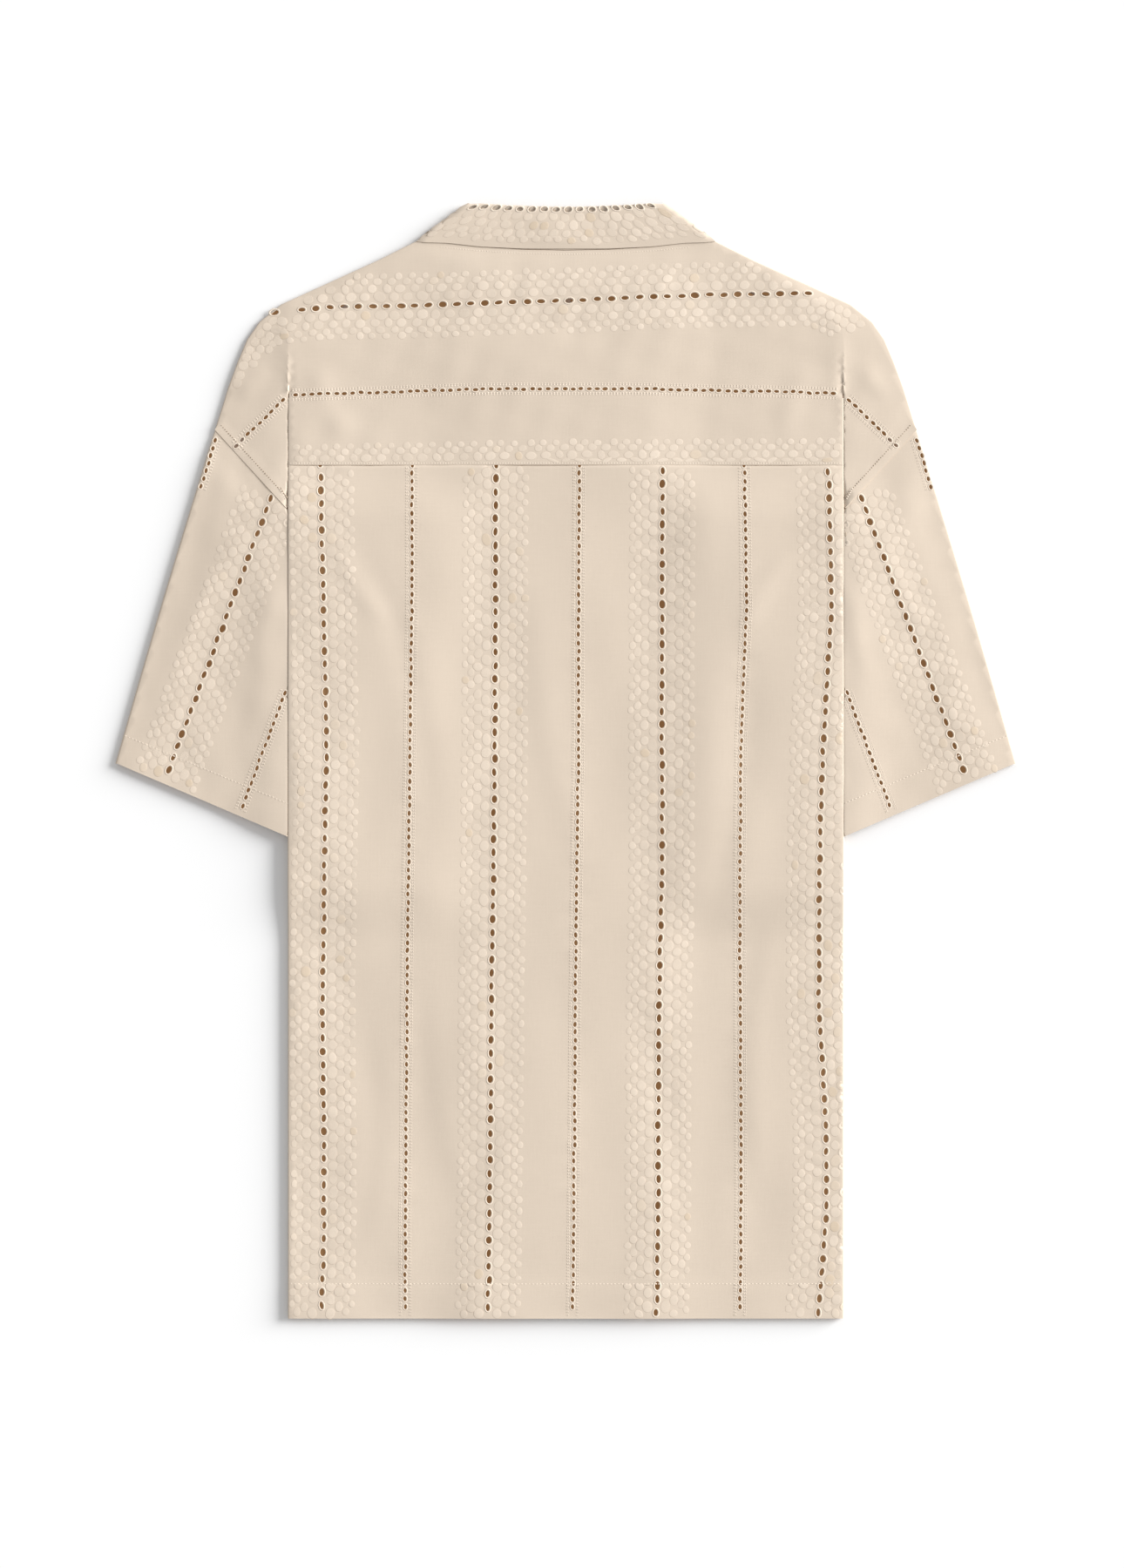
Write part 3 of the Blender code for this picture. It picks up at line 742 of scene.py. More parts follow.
@dataclass(frozen=True)
class SatinFinish:
    """Raised satin stitch: threads laid side by side, with a soft gloss along them and painted
    shade round each petal's rim.
    """

    name: str = "satin_stitch"
    light: Colour = (0.765, 0.650, 0.532, 1.0)
    dark: Colour = (0.705, 0.596, 0.484, 1.0)
    ochre: Colour = (0.68, 0.555, 0.42, 1.0)
    # Darker colour at a petal's rim: painted shade where the thread dips into the cloth
    outline: Colour = (0.56, 0.455, 0.355, 1.0)
    ochre_share: float = 0.965
    thread: float = 0.42
    roughness: float = 0.55
    strength: float = 0.5

    def material(self) -> bpy.types.Material:
        """Return the finish as a material.

        Returns:
            The material.
        """
        recipe = Recipe(self.name, {"Roughness": self.roughness, "Sheen Weight": 0.2,
                                    "Sheen Roughness": 0.4, "Specular IOR Level": 0.35})
        chart = recipe.add("UVMap")
        ridges = recipe.add("TexWave", {"Scale": 0.314 / (self.thread * MM), "Distortion": 0.8,
                                        "Detail": 1.0}, wave_type="BANDS", bands_direction="Y")
        recipe.link(chart, "UV", ridges, "Vector")
        tone = recipe.add("Attribute", attribute_name="tone")
        plain = recipe.blend(tone, "Fac", self.dark, self.light)
        few = recipe.add("MapRange", {"From Min": self.ochre_share,
                                      "From Max": self.ochre_share + 0.03})
        recipe.link(tone, "Fac", few, "Value")
        tinted = recipe.blend(few, "Result", plain, self.ochre)
        # Painted shade round the petal's rim, from its edge weight
        edge = recipe.add("Attribute", attribute_name="edge")
        recipe.colour(recipe.blend(edge, "Fac", tinted, self.outline))
        recipe.bump(ridges, "Fac", self.strength, 0.0001)
        return recipe.made


@dataclass(frozen=True)
class InnerShadeFinish:
    """The cloth's inner side, which the eyelets show: painted shade, and a painted glow for light
    through the thin cotton.
    """

    name: str = "cotton_inner_side_painted_shade"
    # The two browns are painted shade on the cream cloth inside the garment; the emission is a
    # painted glow
    near: Colour = (0.22, 0.15, 0.09, 1.0)
    deep_shade: Colour = (0.13, 0.075, 0.037, 1.0)
    painted_glow: Colour = (0.30, 0.155, 0.065, 1.0)
    painted_glow_strength: float = 0.56

    def material(self) -> bpy.types.Material:
        """Return the finish as a material.

        Returns:
            The material.
        """
        # Painted shade: two dark browns blended by a noise, with a painted glow as emission
        recipe = Recipe(self.name, {"Roughness": 0.9, "Specular IOR Level": 0.1,
                                    "Emission Color": self.painted_glow,
                                    "Emission Strength": self.painted_glow_strength})
        where = recipe.add("TexCoord")
        cloud = recipe.add("TexNoise", {"Scale": 11.0, "Detail": 2.0, "Roughness": 0.5})
        recipe.link(where, "Object", cloud, "Vector")
        edge = recipe.add("MapRange", {"From Min": 0.5, "From Max": 0.68})
        recipe.link(cloud, "Fac", edge, "Value")
        recipe.colour(recipe.blend(edge, "Result", self.deep_shade, self.near))
        return recipe.made


@dataclass(frozen=True)
class ButtonFinish:
    """Matt horn-like button material with faint clouding."""

    name: str = "button_matt"
    light: Colour = (0.72, 0.60, 0.44, 1.0)
    dark: Colour = (0.52, 0.40, 0.27, 1.0)

    def material(self) -> bpy.types.Material:
        """Return the finish as a material.

        Returns:
            The material.
        """
        recipe = Recipe(self.name, {"Roughness": 0.38, "Specular IOR Level": 0.45,
                                    "Coat Weight": 0.15})
        where = recipe.add("TexCoord")
        cloud = recipe.add("TexNoise", {"Scale": 260.0, "Detail": 4.0, "Distortion": 1.4})
        recipe.link(where, "Object", cloud, "Vector")
        recipe.colour(recipe.blend(cloud, "Fac", self.dark, self.light))
        return recipe.made


@dataclass(frozen=True)
class FloorFinish:
    """Plain pale studio floor."""

    name: str = "studio_floor"
    colour: Colour = (0.90, 0.90, 0.90, 1.0)

    def material(self) -> bpy.types.Material:
        """Return the finish as a material."""
        return Recipe(self.name, {"Base Color": self.colour, "Roughness": 0.95,
                                  "Specular IOR Level": 0.05}).made


@dataclass
class Finishes:
    """The materials, each made once."""

    cloth: bpy.types.Material
    # Painted shade for the cloth's inner side, with a painted glow
    inner: bpy.types.Material
    petal: bpy.types.Material
    thread: bpy.types.Material
    mark: bpy.types.Material
    button: bpy.types.Material


def inside(points: Array, outline: Array) -> Array:
    """Return which points lie inside an outline.

    Args:
        points: places in plan.
        outline: corners of the closed outline.

    Returns:
        True for each point inside.
    """
    found = np.zeros(len(points), dtype=bool)
    ahead = np.roll(outline, -1, axis=0)
    for (first_x, first_y), (last_x, last_y) in zip(outline, ahead):
        crosses = (first_y > points[:, 1]) != (last_y > points[:, 1])
        if not crosses.any():
            continue
        at = first_x + (points[:, 1] - first_y) * (last_x - first_x) / (last_y - first_y + 1e-12)
        found ^= crosses & (points[:, 0] < at)
    return found


def fine(line: list[Plan], spacing: float, closed: bool = True) -> Array:
    """Return a line with points added so that none are further apart than spacing.

    Args:
        line: its corners.
        spacing: largest distance between points.
        closed: whether its end joins its start.

    Returns:
        The points, one to a row.
    """
    corners = np.array(line, dtype=float)
    ends = np.roll(corners, -1, axis=0) if closed else corners[1:]
    found = []
    for start, end in zip(corners, ends):
        count = max(1, math.ceil(float(np.hypot(*(end - start))) / spacing))
        found += [start + (end - start) * step / count for step in range(count)]
    if not closed:
        found.append(corners[-1])
    return np.array(found)


def clear_of(points: list[Plan], eyelets: list[Eyelet]) -> Array:
    """Return the points that keep clear of the eyelets.

    Args:
        points: places in plan.
        eyelets: the holes.

    Returns:
        The points that are kept, one to a row.
    """
    return np.array([spot for spot in points
                     if all(math.hypot(spot[0] - hole.across, spot[1] - hole.up)
                            > hole.long / 2 + HOLE_CLEARANCE for hole in eyelets)])


def grid_faces(rows: int, columns: int) -> list[tuple]:
    """Return the faces of a grid of points, as indices row by row."""
    return [(row * columns + column, row * columns + column + 1,
             (row + 1) * columns + column + 1, (row + 1) * columns + column)
            for row in range(rows - 1) for column in range(columns - 1)]


def ring_faces(rings: int, around: int) -> list[tuple]:
    """Return the faces between closed rings of points, as indices ring by ring."""
    return [(ring * around + step, ring * around + (step + 1) % around,
             (ring + 1) * around + (step + 1) % around, (ring + 1) * around + step)
            for ring in range(rings - 1) for step in range(around)]


def cut_region(outline: Array, eyelets: list[Eyelet], spacing: float,
               extra: Array | None = None) -> tuple[Array, Array]:
    """Cut a region of cloth with its eyelets out of a flat plan.

    Args:
        outline: the region's edge, already finely divided.
        eyelets: the holes, each cut out wherever it lies over the region.
        spacing: distance between the points of the inner grid.
        extra: more points, where the cloth bends sharply.

    Returns:
        The points in plan, and the triangles as indices of points.
    """
    ahead = np.roll(outline, -1, axis=0)
    if (outline[:, 0] * ahead[:, 1] - ahead[:, 0] * outline[:, 1]).sum() < 0:
        outline = outline[::-1]
    low, high = outline.min(0), outline.max(0)
    lines = []
    for index, up in enumerate(np.arange(low[1] + spacing / 2, high[1], spacing * 0.87)):
        across = np.arange(low[0] + (index % 2) * spacing / 2, high[0], spacing)
        lines.append(np.stack([across, np.full(len(across), up)], 1))
    grid = np.concatenate(lines)
    if extra is not None:
        for spot in extra:
            grid = grid[np.hypot(*(grid - spot).T) > BEND_CLEARANCE]
        grid = np.concatenate([grid, extra])
    grid = grid[inside(grid, outline)]
    clear = np.full(len(grid), True)
    for start, end in zip(outline, np.roll(outline, -1, axis=0)):
        run = end - start
        share = np.clip(((grid - start) @ run) / max(1e-9, run @ run), 0, 1)
        clear &= np.hypot(*(grid - start - share[:, None] * run).T) > min(0.8, spacing * 0.4)
    loops = []
    for eyelet in eyelets:
        gap = np.hypot(grid[:, 0] - eyelet.across, grid[:, 1] - eyelet.up)
        clear &= gap > eyelet.long / 2 + HOLE_CLEARANCE
        loops.append(eyelet.loop(14 if eyelet.long > 4 else 10))
    grid = grid[clear]
    points = np.concatenate([outline, *loops, grid])
    faces = [list(range(len(outline)))]
    base = len(outline)
    for loop in loops:
        faces.append(list(range(base, base + len(loop))))
        base += len(loop)
    result = delaunay_2d_cdt([Vector(point) for point in points], [], faces, 1, 1e-5)
    kept = [face for face, origin in zip(result[2], result[5]) if list(origin) == [0]]
    return np.array([tuple(point) for point in result[0]]), np.array(kept)


class Cloth:
    """A panel of cloth: a middle surface in patches, given a thin wall of cloth."""

    def __init__(self, name: str) -> None:
        """Start a panel without patches.

        Args:
            name: name of the piece.
        """
        self.name = name
        self.points: list[Array] = []
        self.charts: list[Array] = []
        self.faces: list[tuple] = []
        self.count = 0

    def add(self, points: Array, chart: Array, faces: list) -> None:
        """Add a patch.

        Args:
            points: its middle points, in millimetres.
            chart: the places of those points on the flat cloth, in millimetres.
            faces: its faces as indices of points.
        """
        self.points.append(points)
        self.charts.append(chart)
        self.faces += [tuple(int(corner) + self.count for corner in face) for face in faces]
        self.count += len(points)

    def add_strip(self, rows: list[list[tuple]], chart_step: float = 4.0) -> None:
        """Add a patch from rows of points that all have the same number of points.

        Args:
            rows: the rows, each of points as (across, up, high).
            chart_step: distance between points on the flat cloth.
        """
        columns = len(rows[0])
        points = np.array([point for row in rows for point in row], dtype=float)
        chart = np.array([(column * chart_step, row * chart_step)
                          for row in range(len(rows)) for column in range(columns)], dtype=float)
        self.add(points, chart, grid_faces(len(rows), columns))

    def build(self, finish: bpy.types.Material, inner: bpy.types.Material | None = None,
              outer_down: bool = False) -> bpy.types.Object:
        """Join the patches, give them their wall and return the piece.

        Args:
            finish: the cloth's material.
            inner: painted-shade material of its inner side, or nothing where both sides show.
            outer_down: whether the panel's outer side faces the table.

        Returns:
            The panel as an object.
        """
        points = np.concatenate(self.points)
        chart = np.concatenate(self.charts)
        _, first, merged = np.unique(np.round(points, 2), axis=0, return_index=True,
                                     return_inverse=True)
        merged = merged.reshape(-1)
        faces = []
        for face in self.faces:
            corners = tuple(dict.fromkeys(int(merged[corner]) for corner in face))
            if len(corners) > 2:
                faces.append(corners)
        mesh = bpy.data.meshes.new(self.name)
        mesh.from_pydata([tuple(point) for point in points[first]], [], faces)
        work = bmesh.new()
        work.from_mesh(mesh)
        bmesh.ops.recalc_face_normals(work, faces=work.faces)
        top = max(work.faces, key=lambda face: face.calc_center_median().z)
        if top.normal.z < 0:
            bmesh.ops.reverse_faces(work, faces=work.faces)
        work.normal_update()
        middle = np.array([tuple(vert.co) for vert in work.verts])
        normals = np.array([tuple(vert.normal) for vert in work.verts])
        tops = [[vert.index for vert in face.verts] for face in work.faces]
        count = len(middle)
        bottoms = [[corner + count for corner in reversed(face)] for face in tops]
        sides = []
        for edge in work.edges:
            if len(edge.link_loops) == 1:
                loop = edge.link_loops[0]
                start, end = loop.vert.index, loop.link_loop_next.vert.index
                sides.append([end, start, start + count, end + count])
        work.free()
        verts = np.concatenate([middle + normals * WALL / 2, middle - normals * WALL / 2])
        verts[:, 1] -= LENGTH / 2
        mesh.clear_geometry()
        mesh.from_pydata((verts * MM).tolist(), [], tops + bottoms + sides)
        mesh.polygons.foreach_set("use_smooth", [True] * len(mesh.polygons))
        layer = mesh.uv_layers.new(name="chart")
        corner_verts = np.empty(len(mesh.loops), dtype=int)
        mesh.loops.foreach_get("vertex_index", corner_verts)
        layer.data.foreach_set("uv", (chart[first][corner_verts % count] * MM).reshape(-1))
        mesh.set_sharp_from_angle(angle=math.radians(58))
        mesh.materials.append(finish)
        # The inner side takes the painted shade that the eyelets show
        if inner is not None:
            mesh.materials.append(inner)
            upper, lower = (1, 0) if outer_down else (0, 1)
            slots = [upper] * len(tops) + [lower] * len(bottoms) + [0] * len(sides)
            mesh.polygons.foreach_set("material_index", slots)
        return placed(self.name, mesh)


def lifted(surface: "Surface", across: Array, up: Array, off: Array) -> Array:
    """Return points at a height off a surface, measured square to it.

    Args:
        surface: what gives the middle of the cloth at a place.
        across: places across.
        up: places up.
        off: the heights off the cloth's upper side.

    Returns:
        The points in millimetres.
    """
    spot = surface.at(across, up)
    right = surface.at(across + 0.4, up)
    above = surface.at(across, up + 0.4)
    normal = np.cross(right - spot, above - spot)
    normal *= surface.facing / (np.linalg.norm(normal, axis=-1, keepdims=True) + 1e-9)
    return spot + normal * (off + WALL / 2)[..., None]


class Surface:
    """What a panel's embroidery lies on: the middle of its cloth at a place in plan.

    facing is 1 where the outer side faces up in the panel's own plan, and -1 where it
    faces the other way.
    """

    facing = 1

    def at(self, across: Array, up: Array) -> Array:
        """Return the middle points of the cloth, in millimetres."""
        raise NotImplementedError


def joined(name: str, verts: Array, faces: Array, finish: bpy.types.Material,
           chart: Array, tone: Array) -> bpy.types.Object:
    """Make one mesh of many small things.

    Args:
        name: name of the piece.
        verts: points in millimetres of across, up and high.
        faces: indices of points, four to a face.
        finish: material.
        chart: flat place of each point, in millimetres.
        tone: a value from 0 to 1 for each point.

    Returns:
        The piece as an object.
    """
    verts = verts.reshape(-1, 3).copy()
    verts[:, 1] -= LENGTH / 2
    mesh = bpy.data.meshes.new(name)
    mesh.from_pydata((verts * MM).tolist(), [], faces.tolist())
    mesh.polygons.foreach_set("use_smooth", [True] * len(mesh.polygons))
    corner_verts = np.empty(len(mesh.loops), dtype=int)
    mesh.loops.foreach_get("vertex_index", corner_verts)
    layer = mesh.uv_layers.new(name="chart")
    layer.data.foreach_set("uv", (chart.reshape(-1, 2)[corner_verts] * MM).reshape(-1))
    mesh.attributes.new("tone", "FLOAT", "POINT").data.foreach_set("value", tone.reshape(-1))
    mesh.materials.append(finish)
    return placed(name, mesh)


def copies(template: Array, count: int, points: int) -> Array:
    """Return a template's faces for a number of copies of it."""
    return (template[None, :, :] + (np.arange(count) * points)[:, None, None]).reshape(-1, 4)


def make_petals(name: str, surface: Surface, petals: list[Petal],
                finish: bpy.types.Material) -> bpy.types.Object:
    """Make the raised satin-stitched petals of a panel as one mesh.

    Args:
        name: name of the piece.
        surface: what they lie on.
        petals: their places and sizes.
        finish: material.

    Returns:
        The piece.
    """
    around = 12
    # Each ring: its share of the petal's size, its height, and its weight of painted rim shade
    rings = ((1.0, -0.1, 1.0), (0.93, 0.02, 0.8), (0.84, 0.04, 0.0), (0.42, 0.055, 0.0))
    angles = np.arange(around) * math.tau / around
    reach = np.array([ring[0] for ring in rings])
    off = np.array([ring[1] for ring in rings])
    high = np.repeat(off, around)
    faces = ring_faces(len(rings), around)
    last = (len(rings) - 1) * around
    for step in range(around // 2 - 1):
        faces.append((last + step, last + step + 1,
                      last + around - 2 - step, last + around - 1 - step))
    grown = 1.07
    facts = np.array([(petal.across, petal.up, petal.heading, grown * petal.wide,
                       grown * petal.long, petal.tone) for petal in petals])
    points = len(high)
    power = np.random.default_rng(len(petals)).choice([0.88, 0.95, 1.05, 1.3], len(petals))[:, None]
    cosines = np.sign(np.cos(angles)) * np.abs(np.cos(angles)) ** 0.95
    sines = np.sign(np.sin(angles)) * np.abs(np.sin(angles)) ** power
    ahead = (reach[None, :, None] * cosines[None, None, :]).reshape(1, points) * facts[:, 4:5] / 2
    aside = (reach[None, :, None] * sines[:, None, :]).reshape(len(petals), points)
    aside = aside * facts[:, 3:4] / 2
    cos, sin = np.cos(facts[:, 2:3]), np.sin(facts[:, 2:3])
    across = facts[:, 0:1] + ahead * cos - aside * sin
    up = facts[:, 1:2] + ahead * sin + aside * cos
    rise = high[None, :] * (0.8 + 0.4 * np.clip(facts[:, 5:6], 0, 1))
    verts = lifted(surface, across, up, rise)
    chart = np.stack([aside, ahead], -1)
    tone = np.repeat(facts[:, 5:6], points, 1)
    piece = joined(name, verts, copies(np.array(faces), len(petals), points), finish, chart, tone)
    # Weight of the painted shade round each petal's rim
    outline = np.tile(np.repeat([ring[2] for ring in rings], around), len(petals))
    piece.data.attributes.new("edge", "FLOAT", "POINT").data.foreach_set("value", outline)
    return piece


def make_rims(name: str, surface: Surface, eyelets: list[Eyelet],
              finish: bpy.types.Material) -> bpy.types.Object:
    """Make the whipped edges of a panel's eyelets as one mesh.

    Args:
        name: name of the piece.
        surface: what they lie on.
        eyelets: the holes.
        finish: material.

    Returns:
        The piece.
    """
    around = 18
    profile = ((0.04, -0.55), (0.0, -0.1), (0.2, 0.08), (0.5, 0.12), (0.88, 0.08), (1.0, -0.15))
    angles = np.arange(around) * math.tau / around
    whip = 1.0 + 0.10 * (np.arange(around) % 2)
    faces = ring_faces(len(profile), around)
    facts = np.array([(hole.across, hole.up, hole.heading, hole.wide, hole.long, hole.rim)
                      for hole in eyelets])
    out = np.array([point[0] for point in profile])
    off = np.array([point[1] for point in profile])
    out = facts[:, 5][:, None, None] * out[None, :, None] * whip[None, None, :]
    off = off[None, :, None] * whip[None, None, :] * (0.6 + 0.4 * facts[:, 5])[:, None, None]
    ahead = np.cos(angles)[None, None, :] * (facts[:, 4][:, None, None] / 2 + out)
    aside = np.sin(angles)[None, None, :] * (facts[:, 3][:, None, None] / 2 + out)
    cos, sin = np.cos(facts[:, 2])[:, None, None], np.sin(facts[:, 2])[:, None, None]
    across = facts[:, 0][:, None, None] + ahead * cos - aside * sin
    up = facts[:, 1][:, None, None] + ahead * sin + aside * cos
    verts = lifted(surface, across, up, off)
    chart = np.stack([out + 0 * ahead, 2.2 * angles[None, None, :] + 0 * ahead], -1)
    points = around * len(profile)
    tone = np.repeat(np.random.default_rng(5).uniform(0.3, 0.9, len(eyelets)), points)
    return joined(name, verts, copies(np.array(faces), len(eyelets), points), finish, chart, tone)


def make_dashes(name: str, surface: Surface, dashes: list[Dash],
                finish: bpy.types.Material) -> bpy.types.Object:
    """Make a panel's stitches as one mesh, each a short thread that dips in at its ends.

    Args:
        name: name of the piece.
        surface: what they lie on.
        dashes: their places and sizes.
        finish: material.

    Returns:
        The piece.
    """
    across_shape = ((-1.0, -0.05), (0.0, 0.2), (1.0, -0.05))
    along_shape = ((-1.0, -0.3), (-0.6, 0.0), (0.6, 0.0), (1.0, -0.3))
    unit = np.array([(along, aside) for along, _ in along_shape for aside, _ in across_shape])
    high = np.array([dip + rise for _, dip in along_shape for _, rise in across_shape])
    faces = grid_faces(len(along_shape), len(across_shape))
    facts = np.array([(dash.across, dash.up, dash.heading, dash.wide, dash.long)
                      for dash in dashes])
    ahead = unit[None, :, 0] * facts[:, 4:5] / 2
    aside = unit[None, :, 1] * facts[:, 3:4] / 2
    cos, sin = np.cos(facts[:, 2:3]), np.sin(facts[:, 2:3])
    verts = lifted(surface, facts[:, 0:1] + ahead * cos - aside * sin,
                   facts[:, 1:2] + ahead * sin + aside * cos, np.broadcast_to(high, ahead.shape))
    tone = np.repeat(np.random.default_rng(6).uniform(0.5, 0.9, len(dashes)), len(unit))
    return joined(name, verts, copies(np.array(faces), len(dashes), len(unit)), finish,
                  np.stack([aside, ahead], -1), tone)


def embroider(name: str, surface: Surface, finishes: Finishes, petals: list[Petal],
              eyelets: list[Eyelet], dashes: list[Dash]) -> list[bpy.types.Object]:
    """Make a panel's petals, whipped edges and stitches.

    Args:
        name: name of the panel.
        surface: what they lie on.
        finishes: the materials.
        petals: the petals.
        eyelets: the holes.
        dashes: the stitches.

    Returns:
        The three pieces.
    """
    return [make_petals(f"{name}_petals", surface, petals, finishes.petal),
            make_rims(f"{name}_eyelet_rims", surface, eyelets, finishes.thread),
            make_dashes(f"{name}_stitches", surface, dashes, finishes.thread)]


def half_turn(across: float, up: float, high: float, radius: float, out: int,
              rise: int) -> list[tuple]:
    """Return the points of a half circle that folds a layer over, its ends left out.

    Args:
        across: where the fold starts.
        up: height of the section above the hem.
        high: height of the layer that it starts from.
        radius: radius of the fold.
        out: 1 or -1 for a fold that bulges out or in.
        rise: 1 or -1 for up or down.

    Returns:
        Points as (across, up, high).
    """
    found = []
    for step in range(1, FOLD_STEPS):
        angle = math.pi * step / FOLD_STEPS
        found.append((across + out * radius * math.sin(angle), up,
                      high + rise * radius * (1 - math.cos(angle))))
    return found


def tuck_section(up: float, body_high: float, rise: int, radius: float, inner_radius: float,
                 start_share: float, with_return: bool, end_raise: float = 0.0) -> list[tuple]:
    """Return a section of a side tuck, from its hidden end to the side fold.

    Args:
        up: height of the section above the hem.
        body_high: height of the layer that it folds away from.
        rise: -1 where the tuck lies under its layer and 1 where it lies over it.
        radius: radius of the side fold.
        inner_radius: radius of the hidden inner fold.
        start_share: place of the seam's start on the armhole.
        with_return: whether the tuck turns back out to the armhole.
        end_raise: how much higher the return ends on the armhole.

    Returns:
        Points as (across, up, high), the last on the side fold.
    """
    inner = tuck_inner(up)
    tuck_high = body_high + rise * 2 * radius
    found = []
    if with_return:
        return_high = tuck_high + rise * 2 * inner_radius
        share = (YOKE_SEAM_UP - up) / (YOKE_SEAM_UP - UNDERARM[1])
        end_across, end_up = armhole(min(1.0, float(lerp(start_share, 1.0, share))))
        for part in TUCK_SHARES:
            found.append((lerp(end_across, inner, part), lerp(end_up, up, part),
                          return_high + end_raise * (1 - part)))
        found += half_turn(inner, up, return_high, inner_radius, -1, -rise)
    for part in TUCK_SHARES:
        found.append((lerp(inner, SIDE_FOLD, part), up, tuck_high))
    found += half_turn(SIDE_FOLD, up, tuck_high, radius, 1, -rise)
    found.append((SIDE_FOLD, up, body_high))
    return found


def beside_points(side: int, low: float, high: float, eyelets: list[Eyelet]) -> Array:
    """Return points in plan along the cloth that stands up beside a side fold.

    Args:
        side: -1 or 1 for the left or the right of the picture.
        low: where they start, above the hem.
        high: where they end.
        eyelets: holes that they keep clear of.

    Returns:
        The points.
    """
    found = [(reach * side, up) for reach in BESIDE_LINES for up in np.arange(low, high, 3.0)]
    return clear_of(found, eyelets)


def sided(points: list[tuple], side: int) -> list[tuple]:
    """Return points with their across turned to one side of the garment."""
    return [(point[0] * side, *point[1:]) for point in points]


